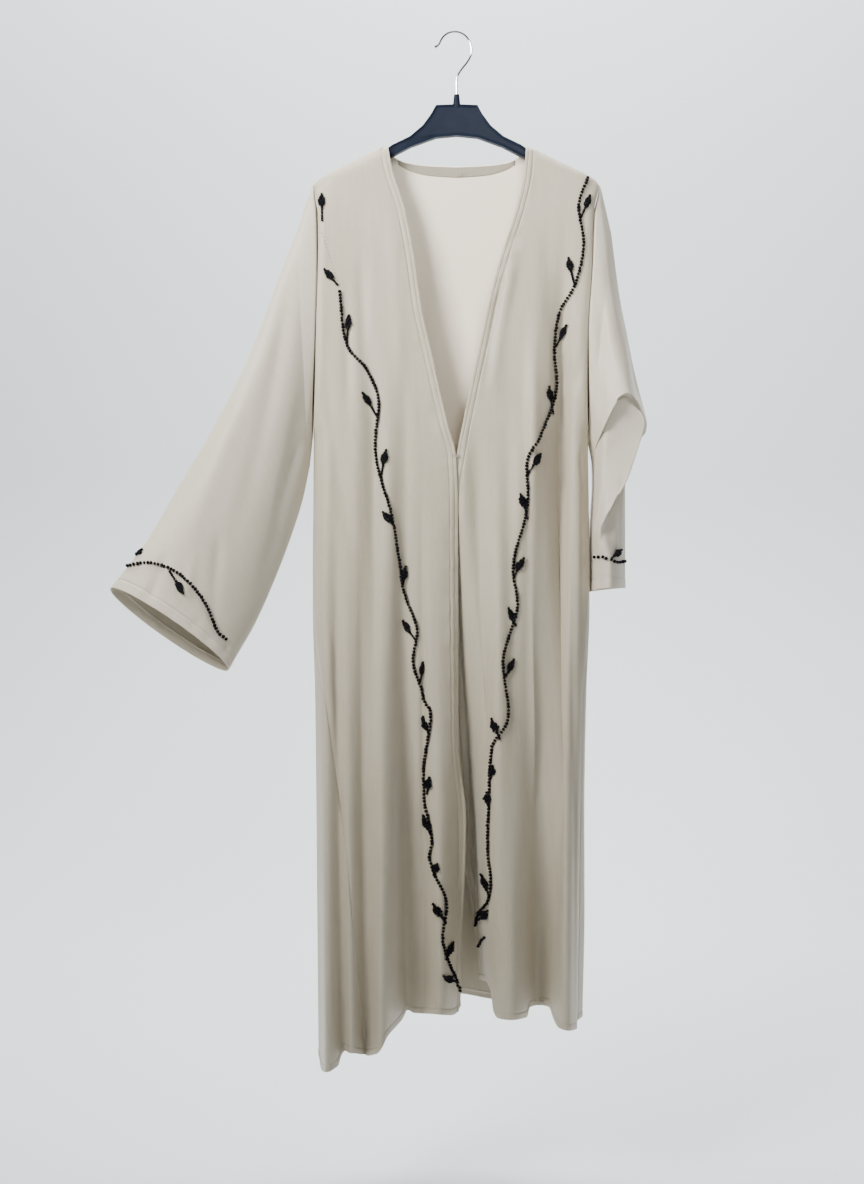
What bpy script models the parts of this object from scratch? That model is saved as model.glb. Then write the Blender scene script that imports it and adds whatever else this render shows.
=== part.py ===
"""An open abaya cloak on a plastic hanger with a wire hook, as closed solids.

Units are metres, +Z is up and the front of the cloak faces -Y.
The origin is the inside of the hook's crown, where a peg or rail carries it.
Heights in the tables are drops below that crown, and left means the viewer's left.
"""

import math
from collections import namedtuple

import bmesh
import bpy
import numpy as np
from mathutils import Vector
from mathutils.bvhtree import BVHTree

# Cloth
WALL = 0.0014
SHOULDER_SEAM_GAP = 0.0003
SIDE_SEAM_GAP = 0.00095
ARMHOLE_GAP = 0.0009
UNDERARM_GAP = 0.0006
OVERLAP_STEP = 0.0015
OVERLAP_REACH = 0.07
SHOULDER_ROLL = 0.022
SIDE_ROLL = 0.032
SHOULDER_POINT = 0.228
UNDERARM = 0.600
FOLDS_START = 0.600
FOLDS_END = 1.470
FOLD_GROWTH = 1.35

FRONT_COLUMNS = 19
BACK_COLUMNS = 37
ROLL_ROWS = [0, 0.0016, 0.0055, 0.012, 0.021, 0.036, 0.060, 0.090]
PANEL_ROWS = 17
SLEEVE_COLUMNS = 28
LEFT_RINGS = 10
RIGHT_RINGS = 21

# Beadwork
STEM_WIDTH = 0.0032
STEM_HEIGHT = 0.0022
LEAF_WIDTH = 0.0095
STRIP_TOP = 0.7
RAISING_PASSES = 3
BEAD_LIFT = 0.0006
LEAF_LIFT = 0.0011
LOOSE_LIFT = 0.0004
STEM_STEP = 0.0125

# Back neck facing
FACING_DEPTH = 0.0150
FACING_END_DEPTH = 0.0060
FACING_REACH = 0.088
FACING_GAP = 0.0004
FACING_TOP_SET_BACK = 0.0012

# Hanger
PLATE_HALF = 0.0055
RIM_WIDTH = 0.0042
RIM_HEIGHT = 0.0014
ARM_TIP = 0.203
ARM_UNDER_CLOTH = 0.0022
BOSS_TOP_DROP = 0.0930
BOSS_TOP_RADIUS = 0.0040
BOSS_BASE_RADIUS = 0.0056
BOSS_SINK = 0.0040
CROWN_DROP = 0.1085
WIRE_RADIUS = 0.0015
SOCKET_RADIUS = 0.0018
SOCKET_DEPTH = 0.0110
HOOK_END_GAP = 0.0004
HOOK_TIP_RADIUS = 0.0021

Level = namedtuple("Level", "drop left right front back side_left side_right")
BODY = [
    Level(0.170, -0.2146, 0.2140, 0.017, 0.017, 0.000, 0.000),
    Level(0.228, -0.2146, 0.2140, 0.019, 0.019, 0.000, 0.000),
    Level(0.270, -0.2090, 0.2060, 0.022, 0.021, 0.000, 0.000),
    Level(0.350, -0.2070, 0.2015, 0.026, 0.023, 0.000, 0.000),
    Level(0.460, -0.2095, 0.1945, 0.030, 0.026, 0.000, 0.000),
    Level(0.600, -0.2140, 0.1960, 0.034, 0.029, 0.000, 0.000),
    Level(0.850, -0.2145, 0.1985, 0.041, 0.035, -0.012, -0.004),
    Level(1.000, -0.2100, 0.1930, 0.047, 0.041, -0.025, -0.008),
    Level(1.180, -0.2070, 0.1900, 0.055, 0.049, -0.040, -0.012),
    Level(1.300, -0.2050, 0.1900, 0.061, 0.056, -0.055, -0.016),
    Level(1.520, -0.2020, 0.1850, 0.071, 0.064, -0.070, -0.020),
]

Shoulder = namedtuple("Shoulder", "across drop")
SHOULDER = [
    Shoulder(0.000, 0.172),
    Shoulder(0.103, 0.172),
    Shoulder(0.120, 0.178),
    Shoulder(0.148, 0.191),
    Shoulder(0.184, 0.207),
    Shoulder(0.202, 0.217),
    Shoulder(0.2146, SHOULDER_POINT),
]

BackNeck = namedtuple("BackNeck", "across drop")
BACK_NECK = [
    BackNeck(0.000, 0.1965),
    BackNeck(0.045, 0.1945),
    BackNeck(0.075, 0.1905),
    BackNeck(0.093, 0.1835),
    BackNeck(0.103, 0.1725),
]

Edge = namedtuple("Edge", "drop x")
LEFT_EDGE = [
    Edge(0.172, -0.1030),
    Edge(0.212, -0.0952),
    Edge(0.263, -0.0788),
    Edge(0.335, -0.0640),
    Edge(0.419, -0.0520),
    Edge(0.493, -0.0356),
    Edge(0.592, -0.0132),
    Edge(0.638, -0.0014),
    Edge(0.710, 0.0016),
    Edge(1.060, 0.0016),
    Edge(1.175, 0.0135),
    Edge(1.250, 0.0122),
    Edge(1.365, 0.0062),
    Edge(1.520, 0.0048),
]
RIGHT_EDGE = [
    Edge(0.172, 0.1035),
    Edge(0.217, 0.0996),
    Edge(0.265, 0.0892),
    Edge(0.339, 0.0655),
    Edge(0.393, 0.0506),
    Edge(0.468, 0.0343),
    Edge(0.545, 0.0175),
    Edge(0.634, 0.0000),
    Edge(0.700, -0.0090),
    Edge(0.950, -0.0110),
    Edge(1.130, 0.0000),
    Edge(1.250, 0.0135),
    Edge(1.438, 0.0380),
    Edge(1.520, 0.0420),
]
LEFT_SIDE_SEAM = [
    Edge(0.600, -0.2140),
    Edge(0.820, -0.2145),
    Edge(0.914, -0.2088),
    Edge(1.002, -0.1915),
    Edge(1.115, -0.1752),
    Edge(1.220, -0.1600),
    Edge(1.407, -0.1428),
    Edge(1.520, -0.1335),
]
RIGHT_SIDE_SEAM = [
    Edge(0.600, 0.1960),
    Edge(0.820, 0.1985),
    Edge(0.920, 0.1935),
    Edge(1.000, 0.1862),
    Edge(1.180, 0.1815),
    Edge(1.520, 0.1760),
]

Fold = namedtuple("Fold", "x_top x_hem y_hem hem_drop")
LEFT_FOLDS = [
    Fold(-0.2140, -0.2020, -0.080, 1.508),
    Fold(-0.2000, -0.1870, -0.135, 1.514),
    Fold(-0.1830, -0.1650, -0.100, 1.506),
    Fold(-0.1690, -0.1515, -0.118, 1.505),
    Fold(-0.1480, -0.1340, -0.085, 1.503),
    Fold(-0.1200, -0.1080, -0.118, 1.493),
    Fold(-0.0820, -0.0726, -0.030, 1.457),
    Fold(-0.0540, -0.0500, -0.036, 1.457),
    Fold(-0.0260, -0.0250, -0.068, 1.456),
    Fold(0.0020, 0.0050, -0.014, 1.450),
]
RIGHT_FOLDS = [
    Fold(-0.0110, 0.0380, 0.055, 1.440),
    Fold(0.0200, 0.0560, -0.070, 1.452),
    Fold(0.0600, 0.0790, -0.090, 1.457),
    Fold(0.1080, 0.1200, -0.020, 1.453),
    Fold(0.1520, 0.1580, -0.085, 1.474),
    Fold(0.1960, 0.1850, -0.040, 1.470),
]
BACK_FOLDS = [
    Fold(-0.2140, -0.2020, 0.010, 1.505),
    Fold(-0.1700, -0.1640, 0.052, 1.498),
    Fold(-0.1180, -0.1130, 0.086, 1.490),
    Fold(-0.0650, -0.0600, 0.050, 1.478),
    Fold(-0.0050, 0.0040, 0.092, 1.464),
    Fold(0.0560, 0.0600, 0.058, 1.464),
    Fold(0.1100, 0.1140, 0.088, 1.467),
    Fold(0.1600, 0.1560, 0.045, 1.469),
    Fold(0.1960, 0.1850, 0.010, 1.470),
]

LeftRing = namedtuple("LeftRing", "top_x top_drop low_x low_drop y half_depth tilt")
LEFT_SLEEVE = [
    LeftRing(-0.2387, 0.3000, -0.2200, 0.6500, -0.008, 0.027, 0),
    LeftRing(-0.2612, 0.3620, -0.2290, 0.6980, -0.018, 0.030, 3),
    LeftRing(-0.3053, 0.4890, -0.2460, 0.7590, -0.040, 0.033, 6),
    LeftRing(-0.3590, 0.6050, -0.2690, 0.8260, -0.068, 0.035, 10),
    LeftRing(-0.4100, 0.7010, -0.2930, 0.8860, -0.098, 0.036, 15),
    LeftRing(-0.4390, 0.7600, -0.3080, 0.9170, -0.124, 0.037, 20),
    LeftRing(-0.4880, 0.8350, -0.3230, 0.9480, -0.158, 0.038, 26),
]

RightRing = namedtuple(
    "RightRing",
    "outer_x outer_drop inner_x inner_drop facet facet_y crease crease_y"
    " edge edge_y face face_y lift back",
)
RIGHT_SLEEVE = [
    RightRing(
        0.2315, 0.301, 0.199, 0.612,
        0.20, -0.024, 0.40, -0.033, 0.60, -0.034, 0.80, -0.027, 0.000, 0.030,
    ),
    RightRing(
        0.2450, 0.401, 0.201, 0.618,
        0.20, -0.032, 0.40, -0.044, 0.60, -0.045, 0.80, -0.036, 0.010, 0.036,
    ),
    RightRing(
        0.2660, 0.506, 0.203, 0.626,
        0.20, -0.036, 0.40, -0.052, 0.60, -0.055, 0.80, -0.046, 0.030, 0.044,
    ),
    RightRing(
        0.2850, 0.586, 0.205, 0.636,
        0.20, -0.038, 0.40, -0.056, 0.60, -0.062, 0.80, -0.054, 0.060, 0.055,
    ),
    RightRing(
        0.2830, 0.600, 0.206, 0.642,
        0.20, -0.029, 0.40, -0.045, 0.60, -0.050, 0.80, -0.043, 0.074, 0.062,
    ),
    RightRing(
        0.2600, 0.622, 0.207, 0.648,
        0.05, -0.016, 0.20, -0.030, -0.28, -0.043, 0.70, -0.042, 0.020, 0.075,
    ),
    RightRing(
        0.2525, 0.670, 0.208, 0.678,
        0.08, -0.016, 0.26, -0.031, 0.03, -0.052, 0.80, -0.040, 0.000, 0.090,
    ),
    RightRing(
        0.2525, 0.709, 0.206, 0.715,
        0.14, -0.020, 0.60, -0.036, 0.49, -0.053, 0.88, -0.036, 0.000, 0.100,
    ),
    RightRing(
        0.2525, 0.745, 0.204, 0.750,
        0.27, -0.030, 0.70, -0.042, 0.82, -0.050, 0.94, -0.028, 0.000, 0.105,
    ),
    RightRing(
        0.2525, 0.790, 0.203, 0.795,
        0.30, -0.036, 0.55, -0.050, 0.80, -0.034, 0.92, -0.018, 0.000, 0.110,
    ),
    RightRing(
        0.2525, 0.833, 0.202, 0.840,
        0.30, -0.036, 0.53, -0.050, 0.80, -0.032, 0.92, -0.016, 0.004, 0.112,
    ),
]

Bend = namedtuple("Bend", "x drop")
VINE_LEFT = [
    Bend(-0.174, 0.394),
    Bend(-0.165, 0.468),
    Bend(-0.132, 0.513),
    Bend(-0.115, 0.557),
    Bend(-0.120, 0.631),
    Bend(-0.099, 0.718),
    Bend(-0.087, 0.792),
    Bend(-0.080, 0.836),
    Bend(-0.059, 0.892),
    Bend(-0.064, 0.944),
    Bend(-0.046, 1.000),
    Bend(-0.038, 1.023),
    Bend(-0.048, 1.121),
    Bend(-0.036, 1.198),
    Bend(-0.038, 1.233),
    Bend(-0.018, 1.293),
    Bend(-0.022, 1.352),
    Bend(0.000, 1.423),
]
VINE_RIGHT = [
    Bend(0.194, 0.222),
    Bend(0.181, 0.265),
    Bend(0.188, 0.324),
    Bend(0.175, 0.385),
    Bend(0.151, 0.426),
    Bend(0.143, 0.480),
    Bend(0.146, 0.539),
    Bend(0.123, 0.605),
    Bend(0.104, 0.648),
    Bend(0.104, 0.710),
    Bend(0.083, 0.799),
    Bend(0.088, 0.863),
    Bend(0.066, 0.936),
    Bend(0.073, 1.019),
    Bend(0.053, 1.066),
    Bend(0.048, 1.144),
    Bend(0.046, 1.216),
    Bend(0.051, 1.258),
    Bend(0.044, 1.326),
]
VINE_CUFF_LEFT = [
    Bend(-0.464, 0.804),
    Bend(-0.431, 0.799),
    Bend(-0.392, 0.814),
    Bend(-0.359, 0.850),
    Bend(-0.339, 0.893),
    Bend(-0.327, 0.905),
]
VINE_CUFF_RIGHT = [
    Bend(0.2060, 0.787),
    Bend(0.2160, 0.787),
    Bend(0.2330, 0.795),
    Bend(0.2490, 0.793),
]

Leaf = namedtuple("Leaf", "tip_x tip_drop stem_x stem_drop")
LEAVES_LEFT = [
    Leaf(-0.160, 0.426, -0.163, 0.469),
    Leaf(-0.142, 0.542, -0.116, 0.582),
    Leaf(-0.104, 0.627, -0.111, 0.666),
    Leaf(-0.110, 0.719, -0.093, 0.743),
    Leaf(-0.075, 0.798, -0.081, 0.831),
    Leaf(-0.083, 0.879, -0.061, 0.910),
    Leaf(-0.049, 0.939, -0.055, 0.972),
    Leaf(-0.053, 1.020, -0.040, 1.048),
    Leaf(-0.039, 1.107, -0.043, 1.136),
    Leaf(-0.051, 1.165, -0.038, 1.194),
    Leaf(-0.028, 1.233, -0.034, 1.254),
    Leaf(-0.035, 1.292, -0.018, 1.324),
    Leaf(-0.007, 1.351, -0.018, 1.377),
    Leaf(-0.024, 1.398, -0.002, 1.416),
]
LEAVES_RIGHT = [
    Leaf(0.199, 0.246, 0.184, 0.284),
    Leaf(0.165, 0.340, 0.175, 0.385),
    Leaf(0.166, 0.440, 0.146, 0.474),
    Leaf(0.134, 0.532, 0.142, 0.575),
    Leaf(0.123, 0.632, 0.104, 0.668),
    Leaf(0.092, 0.692, 0.104, 0.732),
    Leaf(0.098, 0.786, 0.084, 0.817),
    Leaf(0.073, 0.860, 0.086, 0.889),
    Leaf(0.084, 0.935, 0.069, 0.964),
    Leaf(0.051, 1.022, 0.062, 1.054),
    Leaf(0.054, 1.090, 0.050, 1.112),
    Leaf(0.044, 1.130, 0.048, 1.155),
    Leaf(0.036, 1.254, 0.049, 1.282),
    Leaf(0.055, 1.304, 0.046, 1.324),
]
LEAVES_CUFF_LEFT = [Leaf(-0.382, 0.845, -0.405, 0.810)]
LEAVES_CUFF_RIGHT = [Leaf(0.2440, 0.7740, 0.2250, 0.7900)]
LOOSE_LEAVES = {
    "leaf_left_shoulder": ("front_left", Leaf(-0.2010, 0.243, -0.2000, 0.288)),
    "leaf_left_chest": ("front_left", Leaf(-0.1990, 0.358, -0.1770, 0.384)),
    "leaf_left_cuff": ("sleeve_left", Leaf(-0.443, 0.779, -0.455, 0.789)),
}

HookPoint = namedtuple("HookPoint", "x drop")
HOOK_ROUTE = [
    HookPoint(-0.0330, 0.0215),
    HookPoint(-0.0272, 0.0182),
    HookPoint(-0.0226, 0.0092),
    HookPoint(-0.0165, 0.0026),
    HookPoint(-0.0095, -0.0006),
    HookPoint(0.0000, -0.0015),
    HookPoint(0.0105, 0.0022),
    HookPoint(0.0185, 0.0110),
    HookPoint(0.0218, 0.0215),
    HookPoint(0.0216, 0.0330),
    HookPoint(0.0158, 0.0440),
    HookPoint(0.0080, 0.0540),
    HookPoint(0.0020, 0.0630),
    HookPoint(0.0000, 0.0720),
    HookPoint(0.0000, 0.0830),
]
HOOK_POINTS_EACH = 3

# Points on each curve, panel and turned piece.
VINE_POINTS_EACH = 12
FRONT_POINTS = 160
WRAP_POINTS = 60
BACK_POINTS = 320
FACING_COLUMNS = 23
CUFF_RIGHT_STEP = 0.006
SCREW_STEPS = 20

# How far past its socket's mouth the cut for it goes.
SOCKET_CLEAR = 0.005

# Drops between which a panel's sections are found, close together at the shoulder.
SHOULDER_DROPS = (0.170, 0.262)
SHOULDER_LEVELS = 24
BODY_DROPS = (0.270, 1.520)
BODY_LEVELS = 84

# The section that a column's place at the hem is read from, counted from the lowest.
HEM_LEVEL = -4

# Folds go on growing this far past the drop where they are full.
MOST_GROWTH = 1.1

# Drops over which the overlap of the fronts opens out.
OVERLAP_START = 0.52
OVERLAP_RUN = 0.10

# A leaf from its tip to its foot: widths and heights are shares of the full ones.
LeafStation = namedtuple("LeafStation", "along wide high")
LEAF_SHAPE = [
    LeafStation(0.00, 0.30, 0.80),
    LeafStation(0.22, 0.95, 1.10),
    LeafStation(0.46, 0.88, 1.10),
    LeafStation(0.60, 0.34, 0.80),
    LeafStation(0.80, 0.28, 0.60),
    LeafStation(1.00, 0.24, 0.50),
]

HangerEdge = namedtuple("HangerEdge", "across drop")
HANGER_TOP = [
    HangerEdge(0.0000, CROWN_DROP),
    HangerEdge(0.0310, 0.1098),
    HangerEdge(0.0380, 0.1225),
    HangerEdge(0.0506, 0.1400),
    HangerEdge(0.0700, 0.1565),
    HangerEdge(0.0960, 0.1690),
]
HANGER_BOTTOM = [
    HangerEdge(0.1880, 0.2300),
    HangerEdge(0.1480, 0.2120),
    HangerEdge(0.1000, 0.1880),
    HangerEdge(0.0680, 0.1715),
    HangerEdge(0.0310, 0.1580),
    HangerEdge(0.0000, 0.1550),
]
ARM_TIP_ROUND = [(0.0000, 0.003), (0.0005, 0.009), (-0.0050, 0.014)]
ARM_STATIONS = [0.106, 0.120, 0.134, 0.148, 0.166, 0.184, 0.196]

COLORS = {
    "cloth": ((0.590, 0.525, 0.455), 0.62, 0.0),
    "facing": ((0.560, 0.495, 0.425), 0.66, 0.0),
    "beads": ((0.008, 0.008, 0.009), 0.22, 0.0),
    "plastic": ((0.010, 0.012, 0.017), 0.38, 0.0),
    "wire": ((0.780, 0.780, 0.790), 0.18, 1.0),
}


def through(keys, values, at):
    """Values on a smooth curve through the rows, level at each peak and dip."""
    keys = np.asarray(keys, float)
    values = np.asarray(values, float)
    at = np.clip(np.asarray(at, float), keys[0], keys[-1])
    step = np.diff(keys)
    slope = np.diff(values) / step
    tangent = np.zeros(len(keys))
    product = slope[:-1] * slope[1:]
    total = np.where(product > 0, slope[:-1] + slope[1:], 1.0)
    tangent[1:-1] = np.where(product > 0, 2 * product / total, 0.0)
    tangent[0] = slope[0]
    tangent[-1] = slope[-1]
    span = np.clip(np.searchsorted(keys, at, side="right") - 1, 0, len(step) - 1)
    width = step[span]
    t = (at - keys[span]) / width
    rise = values[span] * (2 * t**3 - 3 * t**2 + 1) + values[span + 1] * (3 * t**2 - 2 * t**3)
    lean = tangent[span] * (t**3 - 2 * t**2 + t) + tangent[span + 1] * (t**3 - t**2)
    return rise + lean * width


def column(rows, name):
    return np.array([getattr(row, name) for row in rows], float)


def body(name, drop):
    return through(column(BODY, "drop"), column(BODY, name), drop)


def edge_x(rows, drop):
    return through(column(rows, "drop"), column(rows, "x"), drop)


def shoulder_drop(x):
    return np.interp(np.abs(x), column(SHOULDER, "across"), column(SHOULDER, "drop"))


def fold_growth(drop):
    return np.clip((drop - FOLDS_START) / (FOLDS_END - FOLDS_START), 0, MOST_GROWTH) ** FOLD_GROWTH


def fold_places(folds, drop):
    """Where each fold line stands across the panel at this drop."""
    down = np.clip((drop - FOLDS_START) / (FOLDS_END - FOLDS_START), 0, 1)
    return column(folds, "x_top") * (1 - down) + column(folds, "x_hem") * down


def armhole_open(drop):
    """1 halfway down the armhole, where the front and back stand apart, and 0 past its ends."""
    middle = (SHOULDER_POINT + UNDERARM) / 2
    reach = (UNDERARM - SHOULDER_POINT) / 2
    return math.sqrt(max(0.0, 1 - ((drop - middle) / reach) ** 2))


def shoulder_roll(x, drop):
    """How far the cloth has come round over the shoulder, from 0 on the seam to 1."""
    below = np.clip((drop - shoulder_drop(x)) / SHOULDER_ROLL, 0, 1)
    return np.sqrt(1 - (1 - below) ** 2)


def side_roll(x, drop):
    """How far the cloth has come round from the side, with the armhole held open."""
    inside = np.minimum(x - body("left", drop), body("right", drop) - x)
    turned = np.sqrt(1 - (1 - np.clip(inside / SIDE_ROLL, 0, 1)) ** 2)
    held = armhole_open(drop)
    return held + (1 - held) * turned


def surface_y(folds, flat_y, x, drop):
    """Depth of a panel: flat near the shoulders, folded towards the hem, round at the sides."""
    grown = fold_growth(drop)
    folded = through(fold_places(folds, drop), column(folds, "y_hem"), x)
    depth = flat_y * (1 - grown) + folded * grown
    across = (x - body("left", drop)) / (body("right", drop) - body("left", drop))
    side = body("side_left", drop) * (1 - across) + body("side_right", drop) * across
    return (side + (depth - side) * side_roll(x, drop)) * shoulder_roll(x, drop)


def overlap_step(edge, x, drop):
    """The left front lies on the right one, so near its edge each stands a little off."""
    near = np.clip(1 - np.abs(x - edge_x(edge, drop)) / OVERLAP_REACH, 0, 1)
    started = float(np.clip((drop - OVERLAP_START) / OVERLAP_RUN, 0, 1))
    return OVERLAP_STEP * near * started


def left_y(x, drop):
    return surface_y(LEFT_FOLDS, -body("front", drop), x, drop) - overlap_step(LEFT_EDGE, x, drop)


def right_y(x, drop):
    return surface_y(RIGHT_FOLDS, -body("front", drop), x, drop) + overlap_step(LEFT_EDGE, x, drop)


def back_y(x, drop):
    return surface_y(BACK_FOLDS, body("back", drop), x, drop)


def left_bound(drop):
    """The left front's outer side: the armhole, then the side seam."""
    return body("left", drop) if drop < UNDERARM else edge_x(LEFT_SIDE_SEAM, drop)


def right_bound(drop):
    return body("right", drop) if drop < UNDERARM else edge_x(RIGHT_SIDE_SEAM, drop)


def stretch(start, end, count, depth, drop, both_ends=False):
    """Points of a section from one x to another, closer together where it turns round a side."""
    t = np.linspace(0, 1, count)
    eased = (1 - np.cos(math.pi * t)) / 2 if both_ends else 1 - np.cos(math.pi / 2 * t)
    x = start + (end - start) * eased
    return np.stack([x, depth(x, drop)], axis=1)


def left_section(drop):
    return stretch(left_bound(drop), edge_x(LEFT_EDGE, drop), FRONT_POINTS, left_y, drop)


def right_section(drop):
    return stretch(right_bound(drop), edge_x(RIGHT_EDGE, drop), FRONT_POINTS, right_y, drop)


def back_section(drop):
    """The back, with what it wraps round to the front at each side, from left to right."""
    left = float(body("left", drop))
    right = float(body("right", drop))
    parts = []
    if left_bound(drop) > left + 1e-5:
        parts.append(stretch(left, left_bound(drop), WRAP_POINTS, left_y, drop)[::-1])
    parts.append(stretch(left, right, BACK_POINTS, back_y, drop, both_ends=True))
    if right_bound(drop) < right - 1e-5:
        parts.append(stretch(right, right_bound(drop), WRAP_POINTS, right_y, drop))
    return np.concatenate(parts)


def spread(points, fractions):
    """Points at these fractions of the length of a run of points."""
    steps = np.linalg.norm(np.diff(points, axis=0), axis=1)
    along = np.concatenate([[0], np.cumsum(steps)])
    wanted = np.asarray(fractions) * along[-1]
    return np.stack([np.interp(wanted, along, points[:, i]) for i in range(points.shape[1])], axis=1)


def panel_levels():
    """Drops of the sections across a panel."""
    shoulder = np.linspace(*SHOULDER_DROPS, SHOULDER_LEVELS)
    return np.concatenate([shoulder, np.linspace(*BODY_DROPS, BODY_LEVELS)])


def panel_grid(section, fractions, top_drop, hem_drop, rows, trim):
    """Grid of points of a panel, from its top line to its hem.

    section gives the points across at a drop, and trim is cut off each side for the seams.
    """
    drops = panel_levels()
    levels = []
    for drop in drops:
        points = section(float(drop))
        length = np.linalg.norm(np.diff(points, axis=0), axis=1).sum()
        inset = trim / length
        levels.append(spread(points, inset + np.asarray(fractions) * (1 - 2 * inset)))
    levels = np.array(levels)
    near = np.array(ROLL_ROWS)
    grid = np.zeros((len(near) + rows, len(fractions), 3))
    for j in range(len(fractions)):
        x_top = np.interp(SHOULDER_POINT, drops, levels[:, j, 0])
        top = top_drop(x_top)
        x_hem = levels[HEM_LEVEL, j, 0]
        y_hem = levels[HEM_LEVEL, j, 1]
        hem = hem_drop(x_hem, y_hem)
        rest = np.linspace(near[-1], hem - top, rows + 1)[1:]
        down = top + np.concatenate([near, rest])
        grid[:, j, 0] = np.interp(down, drops, levels[:, j, 0])
        grid[:, j, 1] = np.interp(down, drops, levels[:, j, 1])
        grid[:, j, 2] = -down
    return grid


def hem_of(folds):
    def hem_drop(x, y):
        return float(through(column(folds, "x_hem"), column(folds, "hem_drop"), x))

    return hem_drop


def back_hem(x, y):
    """The back's hem follows the left front's where it has wrapped round to the front."""
    folds = LEFT_FOLDS if y < -0.05 and x < 0 else BACK_FOLDS
    return float(through(column(folds, "x_hem"), column(folds, "hem_drop"), x))


def front_top(x):
    return float(shoulder_drop(x))


def back_top(x):
    """The back's upper line: the shoulder seams with the neckline between them."""
    neck = column(BACK_NECK, "across")
    if abs(x) > neck[-1]:
        return float(shoulder_drop(x))
    return float(through(neck, column(BACK_NECK, "drop"), abs(x)))


def new_object(name, points, faces):
    mesh = bpy.data.meshes.new(name)
    mesh.from_pydata([tuple(point) for point in points], [], faces)
    mesh.update()
    return bpy.data.objects.new(name, mesh)


def grid_faces(rows, columns, closed, flip):
    faces = []
    for i in range(rows - 1):
        for j in range(columns if closed else columns - 1):
            k = (j + 1) % columns
            face = (i * columns + j, (i + 1) * columns + j, (i + 1) * columns + k, i * columns + k)
            faces.append(face[::-1] if flip else face)
    return faces


def wall_object(name, grid, closed=False, flip=False):
    """A cloth wall through a grid of points, half its thickness to each side."""
    rows, columns = grid.shape[:2]
    faces = grid_faces(rows, columns, closed, flip)
    wall = new_object(name, grid.reshape(-1, 3), faces)
    solidify = wall.modifiers.new("wall", "SOLIDIFY")
    solidify.thickness = WALL
    solidify.offset = 0
    solidify.use_even_offset = True
    return wall


def split_seams(grid, off_seam):
    """Moves a panel's top line off the shoulder seam."""
    grid[0, :, 1] += off_seam
    return grid


def make_panels():
    """The two fronts and the back, with their seams parted by the seam gap."""
    front_fractions = np.linspace(0, 1, FRONT_COLUMNS)
    back_fractions = np.linspace(0, 1, BACK_COLUMNS)
    half = SIDE_SEAM_GAP / 2
    shoulder = SHOULDER_SEAM_GAP / 2
    left = panel_grid(left_section, front_fractions, front_top, hem_of(LEFT_FOLDS), PANEL_ROWS, half)
    right = panel_grid(right_section, front_fractions, front_top, hem_of(RIGHT_FOLDS), PANEL_ROWS, half)
    back = panel_grid(back_section, back_fractions, back_top, back_hem, PANEL_ROWS, half)
    return {
        "front_left": wall_object("front_left", split_seams(left, -shoulder)),
        "front_right": wall_object("front_right", split_seams(right, -shoulder), flip=True),
        "back": wall_object("back", split_seams(back, shoulder), flip=True),
    }


def armhole_ring(side, columns):
    """The sleeve's root, beside the armhole edges of the front and back."""
    middle = (SHOULDER_POINT + UNDERARM) / 2
    reach = (UNDERARM - SHOULDER_POINT) / 2
    name = "left" if side < 0 else "right"
    front = left_y if side < 0 else right_y
    ring = []
    for turn in np.linspace(0, 2 * math.pi, columns, endpoint=False):
        drop = middle - reach * math.cos(turn)
        x = body(name, drop)
        y = front(x, drop) if turn < math.pi else back_y(x, drop)
        gap = ARMHOLE_GAP + UNDERARM_GAP * ((1 - math.cos(turn)) / 2) ** 6
        ring.append((float(x) + side * gap, float(y), -drop))
    return np.array(ring)


def row_values(rows, names, at):
    index = np.arange(len(rows))
    return {name: float(through(index, column(rows, name), at)) for name in names}


def left_ring(at, columns):
    """A ring of the held-out sleeve: flat across, with its back edge lower by its tilt."""
    row = row_values(LEFT_SLEEVE, LeftRing._fields, at)
    top = np.array([row["top_x"], row["y"], -row["top_drop"]])
    low = np.array([row["low_x"], row["y"], -row["low_drop"]])
    across = (top - low) / np.linalg.norm(top - low)
    outward = np.array([across[2], 0, -across[0]])
    outward = outward if outward[2] < 0 else -outward
    tilt = math.radians(row["tilt"])
    behind = np.array([0, math.cos(tilt), 0]) + outward * math.sin(tilt)
    turns = np.linspace(0, 2 * math.pi, columns, endpoint=False)
    ring = (top + low) / 2 + np.outer(np.cos(turns), (top - low) / 2)
    return ring - np.outer(np.sin(turns), behind) * row["half_depth"]


def right_ring(at, columns):
    """A ring of the hanging sleeve: a folded front run, then a plain run round its back."""
    row = row_values(RIGHT_SLEEVE, RightRing._fields, at)
    outer = np.array([row["outer_x"], 0, -row["outer_drop"]])
    inner = np.array([row["inner_x"], 0, -row["inner_drop"]])
    half = columns // 2
    stations = np.linspace(0, 1, 6)
    along = [0, row["facet"], row["crease"], row["edge"], row["face"], 1]
    ahead = [0, row["facet_y"], row["crease_y"], row["edge_y"], row["face_y"], 0]
    ring = []
    for t in np.linspace(0, 1, half, endpoint=False):
        point = outer + (inner - outer) * float(through(stations, along, t))
        point[1] = float(through(stations, ahead, t))
        point[2] += row["lift"] * math.sin(math.pi * t)
        ring.append(point)
    for turn in np.linspace(math.pi, 2 * math.pi, half, endpoint=False):
        point = (outer + inner) / 2 + (outer - inner) / 2 * math.cos(turn)
        point[1] = -row["back"] * math.sin(turn)
        ring.append(point)
    return np.array(ring)


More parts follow.
